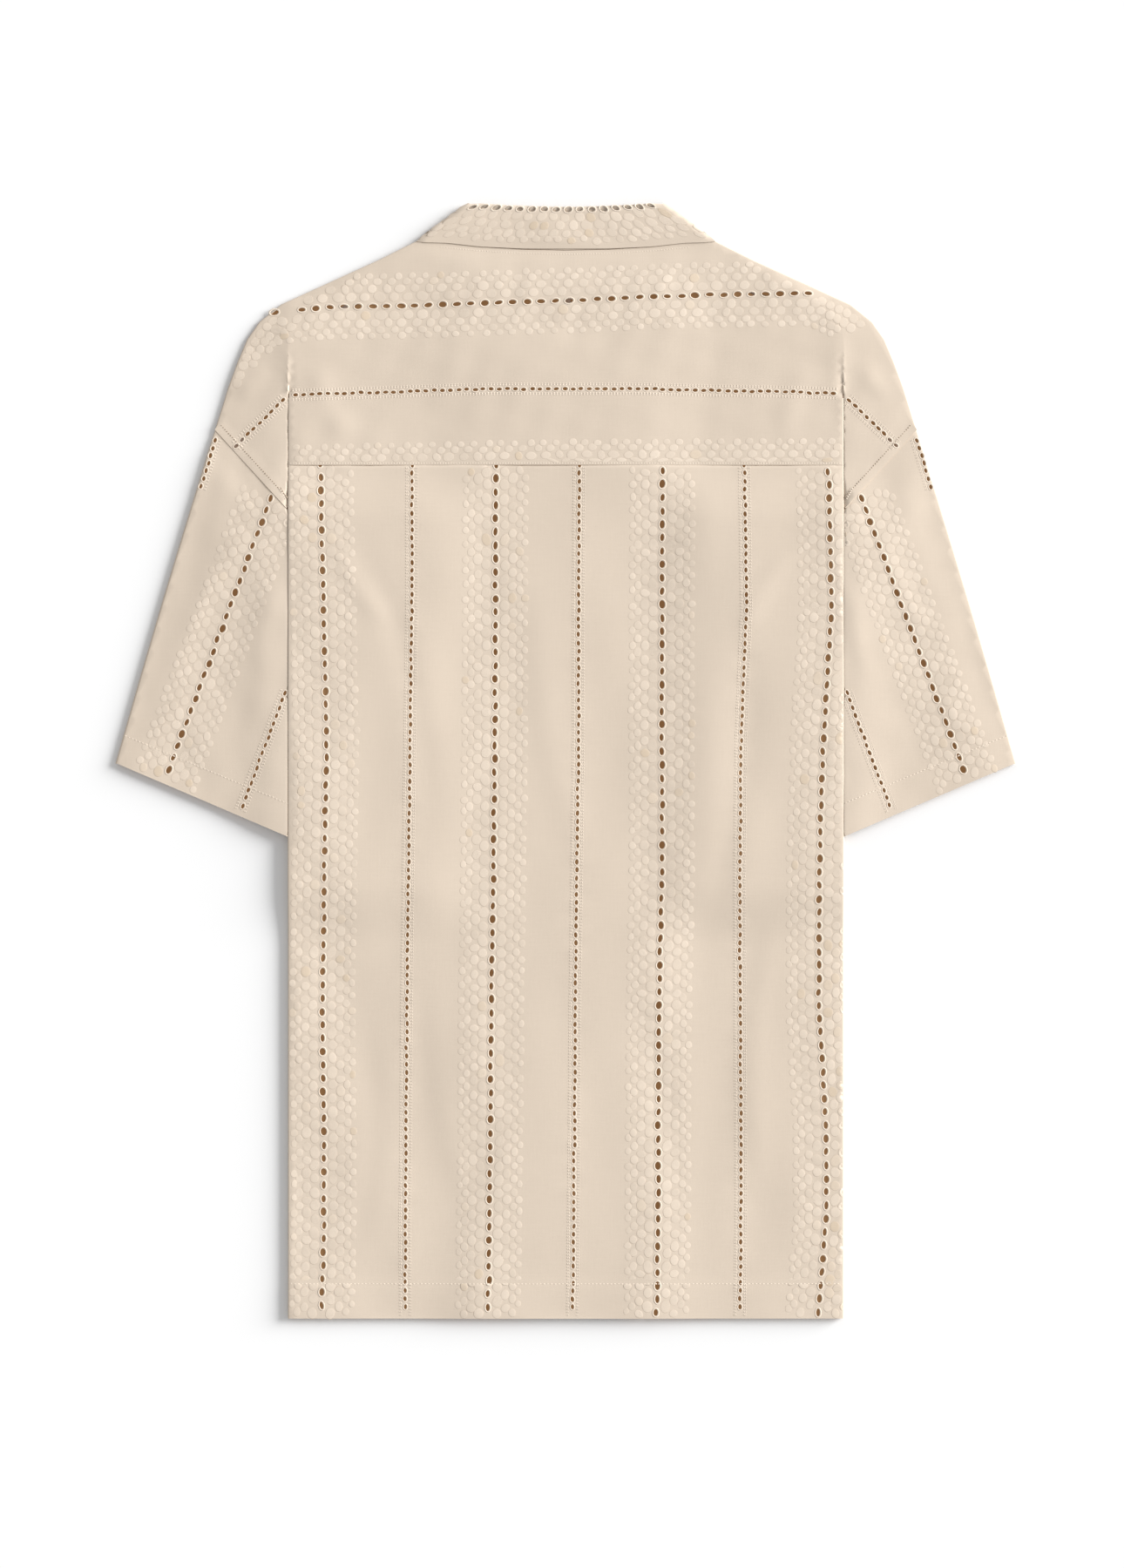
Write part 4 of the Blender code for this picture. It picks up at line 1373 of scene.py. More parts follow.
@dataclass
class Back(Surface):
    """Back panel below the yoke, with its side tucks folded in under it."""

    finishes: Finishes
    spacing: float = 5.0
    rows: list[EyeletRow] = field(default_factory=list)
    creases: tuple = (
        (-150.0, 560.0, -95.0, 330.0, 9.0, -0.55),
        (-20.0, 540.0, 20.0, 300.0, 12.0, 0.5),
        (120.0, 520.0, 95.0, 260.0, 10.0, -0.5),
        (-90.0, 260.0, -60.0, 60.0, 10.0, 0.5),
        (40.0, 240.0, 75.0, 40.0, 11.0, -0.45),
        (150.0, 300.0, 140.0, 70.0, 9.0, 0.5),
        (-140.0, 210.0, -150.0, 40.0, 9.0, -0.4),
        (165.0, 545.0, 120.0, 470.0, 7.0, 0.6),
        (-165.0, 550.0, -120.0, 480.0, 7.0, 0.6),
    )

    def __post_init__(self) -> None:
        """Set out the columns of embroidery."""
        starts = ((2.5, 2), (3.3, 1), (7.3, 1), (7.7, 2))
        for index, (column, (first, phase)) in enumerate(zip(BACK_LARGE_COLUMNS, starts)):
            track = Track(list(zip(column, BACK_COLUMN_UPS)))
            self.rows.append(EyeletRow(track, RowKind.LARGE, 9.34, first, 10 + index,
                                       wide_phase=phase))
        for index, column in enumerate(BACK_NARROW_COLUMNS):
            track = Track(list(zip(column, BACK_COLUMN_UPS)))
            self.rows.append(EyeletRow(track, RowKind.NARROW, 5.66, 3.3, 20 + index))

    def side_high(self, up: Array | float) -> Array:
        """Return the height of the panel at its side folds."""
        return OVER_FRONT + body_lift(up) + 2 * (BACK_RADIUS + TUCK_RADIUS)

    def relief(self, across: Array, up: Array) -> Array:
        """Return the soft creases and the puckering beside the embroidery.

        Args:
            across: places across.
            up: places up.

        Returns:
            The height that they add at each place.
        """
        total = 0.3 * uneven(across, up, 110.0, 3) + 0.12 * uneven(across, up * 0.6, 34.0, 4)
        for crease in self.creases:
            total = total + 0.75 * fold(across, up, crease)
        for number, row in enumerate(self.rows):
            middle = np.interp(-up, -row.track.points[:, 1], row.track.points[:, 0])
            reach = 23.0 if row.kind is RowKind.LARGE else 7.0
            near = np.exp(-((across - middle) / reach) ** 4)
            ripple = uneven(across * 0.5, up, 13.0, 40 + number)
            total = total + near * (0.1 * ripple + 0.05)
        hem = 0.3 * ease((HEM_UP + 0.5 - up) / 1.2) - 0.85 * ease((up - YOKE_SEAM_UP + 1.0) / 2.0)
        return total * ease((SIDE_FOLD - np.abs(across)) / 7.0) * ease(up / 6.0 + 0.35) + hem

    def at(self, across: Array, up: Array) -> Array:
        """Return the middle points of the cloth, round the side folds too.

        Args:
            across: places across.
            up: places up.

        Returns:
            The points in millimetres.
        """
        reach = np.abs(across)
        flat = np.minimum(reach, SIDE_FOLD)
        rise = ease((flat - SIDE_RISE_FROM) / SIDE_RISE_RUN)
        high = lerp(BACK_MID_HIGH, self.side_high(up), rise)
        high = high + self.relief(np.clip(across, -SIDE_FOLD, SIDE_FOLD), up)
        turn = np.clip((reach - SIDE_FOLD) / BACK_RADIUS, 0.0, math.pi)
        out = flat + BACK_RADIUS * np.sin(turn)
        high = high - BACK_RADIUS * (1 - np.cos(turn))
        return np.stack([out * np.sign(across), up, high], -1)

    def build(self) -> list[bpy.types.Object]:
        """Make the panel, its embroidery and its stitching.

        Returns:
            The pieces, the cloth first.
        """
        cloth = Cloth("back_cloth")
        top = YOKE_SEAM_UP + 4.4
        levels = np.linspace(0.0, top, 123)
        outline = [(SIDE_FOLD, up) for up in levels] + [(-SIDE_FOLD, up) for up in levels[::-1]]
        edge = fine(outline, self.spacing)
        eyelets = [hole for row in self.rows for hole in row.eyelets()
                   if abs(hole.across) < SIDE_FOLD - 4.0 and 3.5 < hole.up < YOKE_SEAM_UP + 1.0]
        extra = [(across, YOKE_SEAM_UP + over) for over in (-1.0, 0.0, 1.1)
                 for across in np.arange(-SIDE_FOLD + 2, SIDE_FOLD - 1, 4.0)]
        plan, faces = cut_region(edge, eyelets, self.spacing, clear_of(extra, eyelets))
        cloth.add(self.at(plan[:, 0], plan[:, 1]), plan, faces)
        for side in (-1, 1):
            for with_return, low in ((True, RETURN_UP), (False, 0.0)):
                rows = []
                for up in levels:
                    if up >= low:
                        hem = float(self.relief(np.array([SIDE_FOLD]), np.array([up]))[0])
                        section = tuck_section(up, float(self.side_high(up)) + hem, -1,
                                               BACK_RADIUS, TUCK_RADIUS, 0.293, with_return,
                                               -hem - 0.6)
                        if with_return:
                            section = section[:RETURN_POINTS]
                        rows.append(sided(section, side))
                cloth.add_strip(rows)
        piece = cloth.build(self.finishes.cloth, self.finishes.inner)
        petals = [petal for row in self.rows for petal in row.petals()
                  if abs(petal.across) < SIDE_FOLD + 0.5 and 3.0 < petal.up < YOKE_SEAM_UP - 2.8]
        petals = [replace(petal, tone=0.93 + 0.07 * petal.tone)
                  if petal.across > 181 and petal.up < 270 else petal for petal in petals]
        dashes = [dash for row in self.rows for dash in row.dashes()
                  if 2 < dash.up < YOKE_SEAM_UP - 1]
        hem = Track([(-SIDE_FOLD, HEM_UP), (SIDE_FOLD, HEM_UP)])
        dashes += stitch_line(hem, 0.0, 2.6, 1.9, 0.7, 31)
        made = [piece, *embroider("back", self, self.finishes, petals, eyelets, dashes)]
        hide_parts("back")
        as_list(made[1:])
        return made


@dataclass
class Yoke(Surface):
    """Back yoke with shoulder pleats, dropped shoulders and the fold to the front."""

    finishes: Finishes
    spacing: float = 4.5
    rows: list[EyeletRow] = field(default_factory=list)
    heights: HeightMap | None = None

    def __post_init__(self) -> None:
        """Set out the embroidery and read the heights off the coarse sections."""
        self.rows.append(EyeletRow(Track(list(YOKE_LARGE_ROW)), RowKind.LARGE, 9.83, 2.0, 50,
                                   wide_phase=0))
        self.rows.append(EyeletRow(Track(list(YOKE_NARROW_ROW)), RowKind.NARROW, 5.7, 3.0, 51))
        for side in (-1, 1):
            ends = sided(list(SHOULDER_NARROW_ROW), side)
            self.rows.append(EyeletRow(Track(ends), RowKind.NARROW, 5.7, 2.0, 52 + side))
        points = []
        faces = []
        lines = [self._section(row) for row in YOKE_SECTIONS]
        for up in (632.0, 615.0, 590.0, 560.0):
            lines.append([(across, up, high) for across, _, high in lines[-1][:8]]
                         + [(SIDE_FOLD + 0.2 + 60.0 * share, up - 20 * share, OVER_FRONT)
                            for share in (0.0, 0.4, 1.0)])
        for side in (-1, 1):
            base = len(points)
            points += [(across * side, up, high) for line in lines for across, up, high in line]
            faces += [tuple(base + corner for corner in face)
                      for face in grid_faces(len(lines), len(lines[0]))]
        self.heights = HeightMap((-250.0, 560.0), (250.0, 758.0), points, faces)

    @staticmethod
    def _section(row: tuple) -> list[tuple]:
        """Return one section's points from the middle to the rim.

        Args:
            row: a row of YOKE_SECTIONS.

        Returns:
            Points as (across, up, high).
        """
        mid_up, pleat_across, pleat_up, turn, rim_across, rim_up, mid_high, pleat_high = row
        found = []
        for share in (0.0, 0.2, 0.39, 0.54, 0.66, 0.78, 0.9, 1.0):
            across = pleat_across * share
            rise = float(ease((across - SIDE_RISE_FROM) / SIDE_RISE_RUN))
            found.append((across, lerp(mid_up, pleat_up, share ** 2),
                          lerp(mid_high, pleat_high, rise)))
        drop = (BACK_RADIUS + TUCK_RADIUS) * (1 - math.cos(math.radians(turn)))
        rim_high = OVER_FRONT + float(leaf_lift(rim_across, rim_up))
        for share in (0.01, 0.5, 1.0):
            found.append((lerp(pleat_across, rim_across, share), lerp(pleat_up, rim_up, share),
                          lerp(pleat_high - drop, rim_high, share)))
        return found

    def relief(self, across: Array, up: Array) -> Array:
        """Return the yoke's soft creases and puckering.

        Args:
            across: places across.
            up: places up.

        Returns:
            The height that they add at each place.
        """
        total = 0.25 * uneven(across, up, 80.0, 7) + 0.1 * uneven(across, up, 26.0, 8)
        for side in (-1, 1):
            total = total + fold(across, up, (side * 194.0, 690.0, side * 193.5, 640.0, 6.0, 0.25))
            total = total + fold(across, up, (side * 176.0, 672.0, side * 150.0, 610.0, 9.0, 0.5))
            total = total + fold(across, up, (side * 207.0, 668.0, side * 228.0, 640.0, 6.0, 0.45))
        total = total + fold(across, up, (-60.0, 690.0, 60.0, 684.0, 9.0, -0.35))
        row = self.rows[0].track.points
        middle = np.interp(across, row[:, 0], row[:, 1])
        near = np.exp(-((up - middle) / 23.0) ** 4)
        total = total + near * 0.13 * uneven(across, up * 0.5, 13.0, 9)
        return total

    def at(self, across: Array, up: Array) -> Array:
        """Return the middle points of the upper cloth.

        Args:
            across: places across.
            up: places up.

        Returns:
            The points in millimetres.
        """
        high = self.heights.at(across, up)
        rise = ease((np.abs(across) - SIDE_RISE_FROM) / SIDE_RISE_RUN)
        top = lerp(BACK_MID_HIGH, self.side_high(up), rise)
        low = OVER_FRONT + sleeve_lift(np.abs(across), up)
        below = up < PLEAT_APEX_UP
        outside = np.abs(across) > SIDE_FOLD + 0.01
        high = np.where(below & ~outside, top, high)
        high = np.where(below & outside, low, high)
        from_seam = ((up - ARMHOLE_TOP[1])
                     - (np.abs(across) - ARMHOLE_TOP[0]) * ARMHOLE_SLOPE) * ARMHOLE_COSINE
        high = high + 0.3 * (1 - ease((from_seam - 5.6) / 1.6)) * (np.abs(across) > SIDE_FOLD)
        high = high + beside_fold(np.abs(across), up)
        relief = self.relief(across, up)
        fade = np.where(below & ~outside, ease((SIDE_FOLD - np.abs(across)) / 7.0), 1.0)
        fade = np.where(below & outside, ease((np.abs(across) - SIDE_FOLD) / 7.0), fade)
        return np.stack([across, up, high + relief * fade * ease((752.0 - up) / 10.0)], -1)

    @staticmethod
    def side_high(up: Array | float) -> Array:
        """Return the height of the upper layer at the side folds."""
        return OVER_FRONT + sleeve_lift(SIDE_FOLD, up) + 2 * (BACK_RADIUS + TUCK_RADIUS)

    def shoulder_line(self) -> list[Plan]:
        """Return the line in plan where the cloth starts to fold over the shoulder's edge.

        Returns:
            Its points, from the neck out.
        """
        rims = [(row[4], row[5]) for row in YOKE_SECTIONS]
        found = []
        inset = INNER_RADIUS + WALL / 2
        for index, rim in enumerate(rims):
            before, after = rims[max(0, index - 1)], rims[min(len(rims) - 1, index + 1)]
            run = np.array(after) - np.array(before)
            run /= np.hypot(*run)
            found.append((rim[0] + run[1] * inset, rim[1] - run[0] * inset))
        return found

    def build(self) -> list[bpy.types.Object]:
        """Make the yoke, its embroidery and its stitching.

        Returns:
            The pieces, the cloth first.
        """
        cloth = Cloth("yoke_cloth")
        low = YOKE_SEAM_UP
        line = self.shoulder_line()
        split = [index for index, point in enumerate(line) if point[0] > SIDE_FOLD][0]
        share = (SIDE_FOLD - line[split - 1][0]) / (line[split][0] - line[split - 1][0])
        split_up = float(lerp(line[split - 1][1], line[split][1], share))
        inner_edge = [(SIDE_FOLD, float(up)) for up in np.linspace(low, PLEAT_APEX_UP, 12)]
        inner_edge += [(SIDE_FOLD, float(up))
                       for up in np.linspace(PLEAT_APEX_UP, split_up, 14)[1:]]
        rim = [tuple(point) for point in fine(line[:split] + [(SIDE_FOLD, split_up)], 5.0, False)]
        neck = [(60.0, 749.4), (30.0, 747.5), (0.0, 746.9)]
        half = inner_edge + rim[::-1][1:] + neck[:2]
        outline = half + [neck[2]] + [(-across, up) for across, up in reversed(half)]
        eyelets = [hole for row in self.rows for hole in row.eyelets()]
        middle = [hole for hole in eyelets if abs(hole.across) < SIDE_FOLD - 3.0]
        plan, faces = cut_region(fine(outline, 5.0), middle, self.spacing)
        cloth.add(self.at(plan[:, 0], plan[:, 1]), plan, faces)
        ends = [armhole(share) for share in (0.0, 0.05, 0.1, 0.15, 0.2, 0.25, 0.288, 0.313)]
        outer_rim = [tuple(point)
                     for point in fine([(SIDE_FOLD, split_up)] + line[split:], 5.0, False)]
        kept = [hole for hole in eyelets if abs(hole.across) > SIDE_FOLD + 2.0]
        for side in (-1, 1):
            shoulder = outer_rim[:-1] + ends
            inner = [(SIDE_FOLD + 0.02 if up < PLEAT_APEX_UP - 0.1 else SIDE_FOLD, up)
                     for across, up in inner_edge]
            shoulder += [(194.45, 567.5), (194.45, 577.2), (SIDE_FOLD + 0.02, 588.0)] + inner[:-1]
            edge = fine(sided(shoulder, side), 5.0)
            holes = [hole for hole in kept if hole.across * side > 0]
            plan, faces = cut_region(edge, holes, self.spacing,
                                     beside_points(side, 568.0, 690.0, holes))
            cloth.add(self.at(plan[:, 0], plan[:, 1]), plan, faces)
            self._add_folds(cloth, side, inner_edge[:12])
        self._add_rim(cloth, rim + outer_rim[1:])
        piece = cloth.build(self.finishes.cloth, self.finishes.inner)
        petals = [petal for row in self.rows for petal in row.petals() if self._on_yoke(petal)]
        half_band = EyeletRow(Track(list(YOKE_HALF_BAND)), RowKind.LARGE, 9.6, 3.0, 60, sides=(1,))
        petals += self._above_seam(half_band.petals())
        petals += self._shoulder_petals()
        dashes = [dash for row in self.rows for dash in row.dashes()]
        seam = Track([(-SIDE_FOLD, YOKE_SEAM_UP + 1.2), (SIDE_FOLD, YOKE_SEAM_UP + 1.2)])
        dashes += stitch_line(seam, 0.0, 1.9, 1.3, 0.7, 61)
        neck_line = [(-88.0, 750.3), (-60.0, 747.6), (-30.0, 745.8), (0.0, 745.2), (30.0, 745.8),
                     (60.0, 747.6), (88.0, 750.3)]
        dashes += stitch_line(Track(neck_line), -1.0, 1.9, 1.3, 0.7, 62)
        marks = []
        for side in (-1, 1):
            seam_line = [(point[0] * side, point[1]) for point in (armhole(0.0), armhole(0.3))]
            marks += stitch_line(Track(seam_line), -5.4 * side, 1.9, 1.1, 0.8, 63 + side)
            tuck_end = [(side * 200.6, 580.8), (side * 195.4, 571.6)]
            dashes += stitch_line(Track(tuck_end), 0.0, 1.6, 1.3, 0.9, 67 + side)
            # A close line of dark marks beside the tuck's end: painted shade of the crumple there
            marks += stitch_line(Track(tuck_end), -1.3 * side, 2.2, 2.0, 0.5, 69 + side)
        made = [piece, *embroider("yoke", self, self.finishes, petals, middle + kept, dashes),
                make_dashes("yoke_needle_marks", self, marks, self.finishes.mark)]
        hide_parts("yoke")
        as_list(made[1:])
        return made

    @staticmethod
    def _above_seam(petals: list[Petal]) -> list[Petal]:
        """Return the petals above the yoke's seam, those on it cut short.

        Args:
            petals: the petals along the seam.

        Returns:
            Those that show.
        """
        found = []
        for petal in petals:
            room = petal.up - YOKE_SEAM_UP - 1.9
            if room > -1.0 and abs(petal.across) < SIDE_FOLD - 3.5:
                wide = min(petal.wide, petal.wide / 2 + room)
                found.append(replace(petal, wide=wide, up=petal.up + (petal.wide - wide) / 2))
        return found

    def _shoulder_petals(self) -> list[Petal]:
        """Return the petals that follow the shoulders' edges down from the band's ends.

        Returns:
            The petals of both shoulders.
        """
        left, right = Track(list(SHOULDER_BAND)), Track(list(RIGHT_BAND))
        draw = np.random.default_rng(66)
        found = []
        for track, aside, first, last, size in (
                (left, 3.0, 0.0, 58.0, 6.2), (left, 9.0, 3.0, 42.0, 6.0),
                (left, 14.5, 0.0, 26.0, 5.2),
                (right, -5.0, 0.0, 37.0, 6.2), (right, -11.5, 3.0, 34.0, 6.2),
                (right, -18.0, 0.0, 26.0, 5.4), (right, -23.0, 3.0, 20.0, 4.6)):
            for place in np.arange(first, last, 6.6):
                across, up, heading = track.at(float(place) + draw.normal(0, 0.5), aside)
                found.append(Petal(across, up, heading + draw.normal(0, 0.5),
                                   size * draw.uniform(0.9, 1.1), size * draw.uniform(1.0, 1.25),
                                   float(draw.uniform())))
        return found

    def _on_yoke(self, petal: Petal) -> bool:
        """Return whether a petal lies on the yoke, clear of its edges.

        Args:
            petal: the petal.

        Returns:
            True where it does.
        """
        line = np.array(self.shoulder_line())
        rim_up = np.interp(abs(petal.across), line[:, 0], line[:, 1], left=750.0)
        limit = rim_up - 2.5 if abs(petal.across) > 92 else 744.0
        return petal.up < limit and abs(petal.across) < 240

    @staticmethod
    def _add_folds(cloth: Cloth, side: int, levels: list[Plan]) -> None:
        """Add the pleat's side fold, its tuck and its return under the shoulder.

        Args:
            cloth: the yoke's cloth.
            side: -1 or 1 for the left or the right of the picture.
            levels: points of the fold, as (across, up).
        """
        rows = []
        for _, up in levels[:-1]:
            high = float(Yoke.side_high(up))
            low = high - 2 * BACK_RADIUS - 2 * TUCK_RADIUS
            inner = tuck_inner(up)
            section = [(SIDE_FOLD + 0.02, up, low), (lerp(SIDE_FOLD, inner, 0.5), up, low),
                       (inner, up, low)]
            section += half_turn(inner, up, low, TUCK_RADIUS, -1, 1)
            section += [(inner, up, low + 2 * TUCK_RADIUS),
                        (lerp(inner, SIDE_FOLD, 0.5), up, low + 2 * TUCK_RADIUS),
                        (SIDE_FOLD, up, low + 2 * TUCK_RADIUS)]
            section += half_turn(SIDE_FOLD, up, low + 2 * TUCK_RADIUS, BACK_RADIUS, 1, 1)
            section.append((SIDE_FOLD, up, high))
            rows.append(sided(section, side))
        cloth.add_strip(rows)

    def _add_rim(self, cloth: Cloth, line: list[Plan]) -> None:
        """Add the fold over the shoulder's edge and the strip under it.

        Args:
            cloth: the yoke's cloth.
            line: where the fold starts, in plan.
        """
        points = np.array(line)
        run = np.gradient(points, axis=0)
        run /= np.hypot(*run.T)[:, None]
        outward = np.stack([-run[:, 1], run[:, 0]], 1)
        start = self.at(points[:, 0], points[:, 1])
        mirror = self.at(-points[:, 0], points[:, 1])
        for side, tops in ((1, start), (-1, mirror)):
            rows = []
            for index, spot in enumerate(points):
                way = outward[index]
                high = tops[index][2]
                section = [(spot[0], spot[1], high)]
                for step in range(1, FOLD_STEPS + 1):
                    angle = math.pi * step / FOLD_STEPS
                    bulge = INNER_RADIUS * math.sin(angle)
                    section.append((spot[0] + way[0] * bulge, spot[1] + way[1] * bulge,
                                    high - INNER_RADIUS * (1 - math.cos(angle))))
                low = high - 2 * INNER_RADIUS
                for share in (0.5, 1.0):
                    section.append((spot[0] - way[0] * 18 * share,
                                    spot[1] - way[1] * 18 * share, low))
                rows.append(sided(section, side))
            cloth.add_strip(rows)


@dataclass
class Sleeve(Surface):
    """Short sleeve in one piece, folded along its outer edge and partly under the body."""

    finishes: Finishes
    side: int
    name: str
    spacing: float = 4.5
    edge_inset: float = 1.3
    rows: list[EyeletRow] = field(default_factory=list)
    creases: tuple = (
        (215.0, 560.0, 262.0, 470.0, 8.0, 0.5),
        (225.0, 450.0, 250.0, 380.0, 10.0, -0.15),
        (262.0, 440.0, 290.0, 400.0, 6.0, 0.35),
        (200.0, 520.0, 214.0, 440.0, 7.0, 0.5),
    )

    def __post_init__(self) -> None:
        """Set out the sleeve's embroidery."""
        seed = 70 + self.side * 5
        for index, (line, kind, pitch, first) in enumerate((
                (SLEEVE_LARGE_ROW, RowKind.LARGE, 8.8, 0.0),
                (SLEEVE_NARROW_ROW, RowKind.NARROW, 5.6, 2.0),
                (SLEEVE_EDGE_ROW, RowKind.NARROW, 5.6, 2.0))):
            track = Track(sided(list(line), self.side))
            self.rows.append(EyeletRow(track, kind, pitch, first, seed + index))

    def outer_line(self, along: Array) -> Array:
        """Return points of the line where the outer fold starts, with its slight bulge.

        Args:
            along: shares of the way from the shoulder to the cuff.

        Returns:
            The points in plan.
        """
        bulge = 1.0 * np.sin(np.asarray(along) * math.pi) - INNER_RADIUS - WALL / 2
        bulge = bulge - 0.55 * ease(np.asarray(along) / 0.15)
        across = lerp(ARMHOLE_TOP[0], CUFF_OUTER[0], along) + bulge
        up = lerp(ARMHOLE_TOP[1], CUFF_OUTER[1], along)
        return np.stack([across, up], -1)

    def at(self, across: Array, up: Array) -> Array:
        """Return the middle points of the upper layer.

        Args:
            across: places across.
            up: places up.

        Returns:
            The points in millimetres.
        """
        reach = np.abs(across)
        lift = sleeve_lift(reach, up)
        inward = np.clip(self._edge(up) - reach, 0.0, None)
        from_seam = (ARMHOLE_TOP[1] - up) + (reach - ARMHOLE_TOP[0]) * ARMHOLE_SLOPE
        puff = (1 - lift / SLEEVE_LIFT) * (ease(inward / 25.0) * ease(from_seam / 60.0)
                                           + 1.1 * ease(from_seam / 35.0))
        relief = 0.22 * uneven(across, up, 70.0, 80 + self.side)
        relief = relief + 0.1 * uneven(across, up, 24.0, 82 + self.side)
        for first_across, first_up, last_across, last_up, width, high in self.creases:
            relief = relief + fold(across, up, (first_across * self.side, first_up,
                                                last_across * self.side, last_up, width, high))
        high = OVER_FRONT + lift + puff + relief * ease(inward / 8.0) * ease(from_seam / 12.0)
        high = high - 0.12 * (1 - ease(from_seam / 3.0)) * ease((reach - 190.0) / 8.0)
        high = high + beside_fold(reach, up)
        return np.stack([across, up, high], -1)

    def build(self) -> list[bpy.types.Object]:
        """Make the sleeve, its embroidery and its stitching.

        Returns:
            The pieces, the cloth first.
        """
        cloth = Cloth(f"{self.name}_cloth")
        shares = np.linspace(0.0, 1.0, 52)
        outer = [tuple(point) for point in self.outer_line(shares)]
        outline = outer + [CUFF_INNER, UNDERARM]
        outline += [armhole(share) for share in (0.95, 0.85, 0.75, 0.65, 0.55, 0.45, 0.38, 0.32,
                                                 0.25, 0.2, 0.15, 0.1, 0.05)]
        edge = fine(sided(outline, self.side), 5.0)
        eyelets = [hole for row in self.rows for hole in row.eyelets()
                   if self._clear(hole.across, hole.up,
                                  *((0.4, 1.4) if hole.long < 4 else (3.2, 2.9)))]
        plan, faces = cut_region(edge, eyelets, self.spacing,
                                 beside_points(self.side, 340.0, 570.0, eyelets))
        cloth.add(self.at(plan[:, 0], plan[:, 1]), plan, faces)
        rows = []
        for across, up in outer:
            high = float(self.at(np.array([across * self.side]), np.array([up]))[0][2])
            low = FRONT_HIGH + float(sleeve_lift(across, up))
            radius = (high - low) / 2
            section = [(across, up, high)] + half_turn(across, up, high, radius, 1, -1)
            rows.append(sided(section + [(across, up, low)], self.side))
        cloth.add_strip(rows)
        under_plan, under_faces = cut_region(edge, [], 12.0)
        low = FRONT_HIGH + sleeve_lift(np.abs(under_plan[:, 0]), under_plan[:, 1])
        cloth.add(np.stack([under_plan[:, 0], under_plan[:, 1], low], -1), under_plan, under_faces)
        piece = cloth.build(self.finishes.cloth, self.finishes.inner)
        petals = [petal for row in self.rows for petal in row.petals()
                  if self._clear(petal.across, petal.up, 3.5, 3.3)]
        dashes = [dash for row in self.rows for dash in row.dashes()
                  if self._clear(dash.across, dash.up, 0.4, 0.4)]
        cuff = Track(sided([(CUFF_OUTER[0] - 6, CUFF_OUTER[1] + 20),
                            (CUFF_INNER[0], CUFF_INNER[1] + 24)], self.side))
        dashes += stitch_line(cuff, 0.0, 2.6, 1.9, 0.7, 90)
        made = [piece, *embroider(self.name, self, self.finishes, petals, eyelets, dashes)]
        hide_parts(f"{self.name}_back", f"{self.name}_front")
        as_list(made[1:])
        return made

    def _edge(self, up: Array | float) -> Array | float:
        """Return how far out the upper layer reaches at a height above the hem."""
        slope = (CUFF_OUTER[0] - ARMHOLE_TOP[0]) / (ARMHOLE_TOP[1] - CUFF_OUTER[1])
        return ARMHOLE_TOP[0] - self.edge_inset + (ARMHOLE_TOP[1] - up) * slope

    def _clear(self, across: float, up: float, margin: float, cuff_margin: float) -> bool:
        """Return whether a place lies on the sleeve, clear of its edges.

        Args:
            across: the place across.
            up: the place up.
            margin: least distance from the outer fold and the armhole.
            cuff_margin: least distance above the cuff.

        Returns:
            True where it does.
        """
        reach = abs(across)
        share = (CUFF_OUTER[0] - reach) / (CUFF_OUTER[0] - CUFF_INNER[0])
        cuff = lerp(CUFF_OUTER[1], CUFF_INNER[1], share)
        head = ARMHOLE_TOP[1] - (ARMHOLE_TOP[0] - reach) * ARMHOLE_SLOPE
        return (cuff + cuff_margin < up < head - max(margin, 1.5)
                and 160 < reach < self._edge(up) - margin)


@dataclass
class Front:
    """One front, flat on the table, with its side tuck folded in over it."""

    finishes: Finishes
    side: int
    name: str
    placket_high: float
    placket_in: float
    placket_run: float

    def high(self, across: Array, up: Array) -> Array:
        """Return the height of the front's middle."""
        placket = self.placket_high * ease((self.placket_in + self.placket_run - across)
                                           / self.placket_run)
        return FRONT_HIGH + np.maximum(leaf_lift(across, up), placket)

    def at(self, across: Array, up: Array) -> Array:
        """Return the middle points of the front, in the garment's own across."""
        return np.stack([across, up, self.high(across * self.side, up)], -1)

    def build(self) -> list[bpy.types.Object]:
        """Make the front.

        Returns:
            The pieces, the cloth first.
        """
        cloth = Cloth(f"{self.name}_cloth")
        levels = np.linspace(0.0, 556.0, 82)
        outline = [(SIDE_FOLD, up) for up in levels]
        outline += [(194.8, 566.3), (213.0, 586.2), (229.2, 603.7), (215.8, 644.1), (203.9, 674.6),
                    (188.2, 689.5), (92.1, 734.4), (86.3, 726.5), (72.9, 716.8), (48.5, 710.7),
                    (44.5, 708.2), (-15.2, 708.2), (-15.2, 0.0)]
        plan, faces = cut_region(fine(sided(outline, self.side), 7.0), [], 9.0)
        cloth.add(self.at(plan[:, 0], plan[:, 1]), plan, faces)
        for with_return, low in ((True, RETURN_UP), (False, 0.0)):
            rows = []
            for up in levels:
                if up >= low:
                    section = tuck_section(up, FRONT_HIGH, 1, INNER_RADIUS, INNER_RADIUS, 0.30,
                                           with_return)
                    if with_return:
                        section = section[:RETURN_POINTS]
                    rows.append(sided(section, self.side))
            cloth.add_strip(rows)
        # Its upper side, inside the garment, takes the painted shade
        piece = cloth.build(self.finishes.cloth, self.finishes.inner, outer_down=True)
        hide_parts(self.name)
        return [piece]


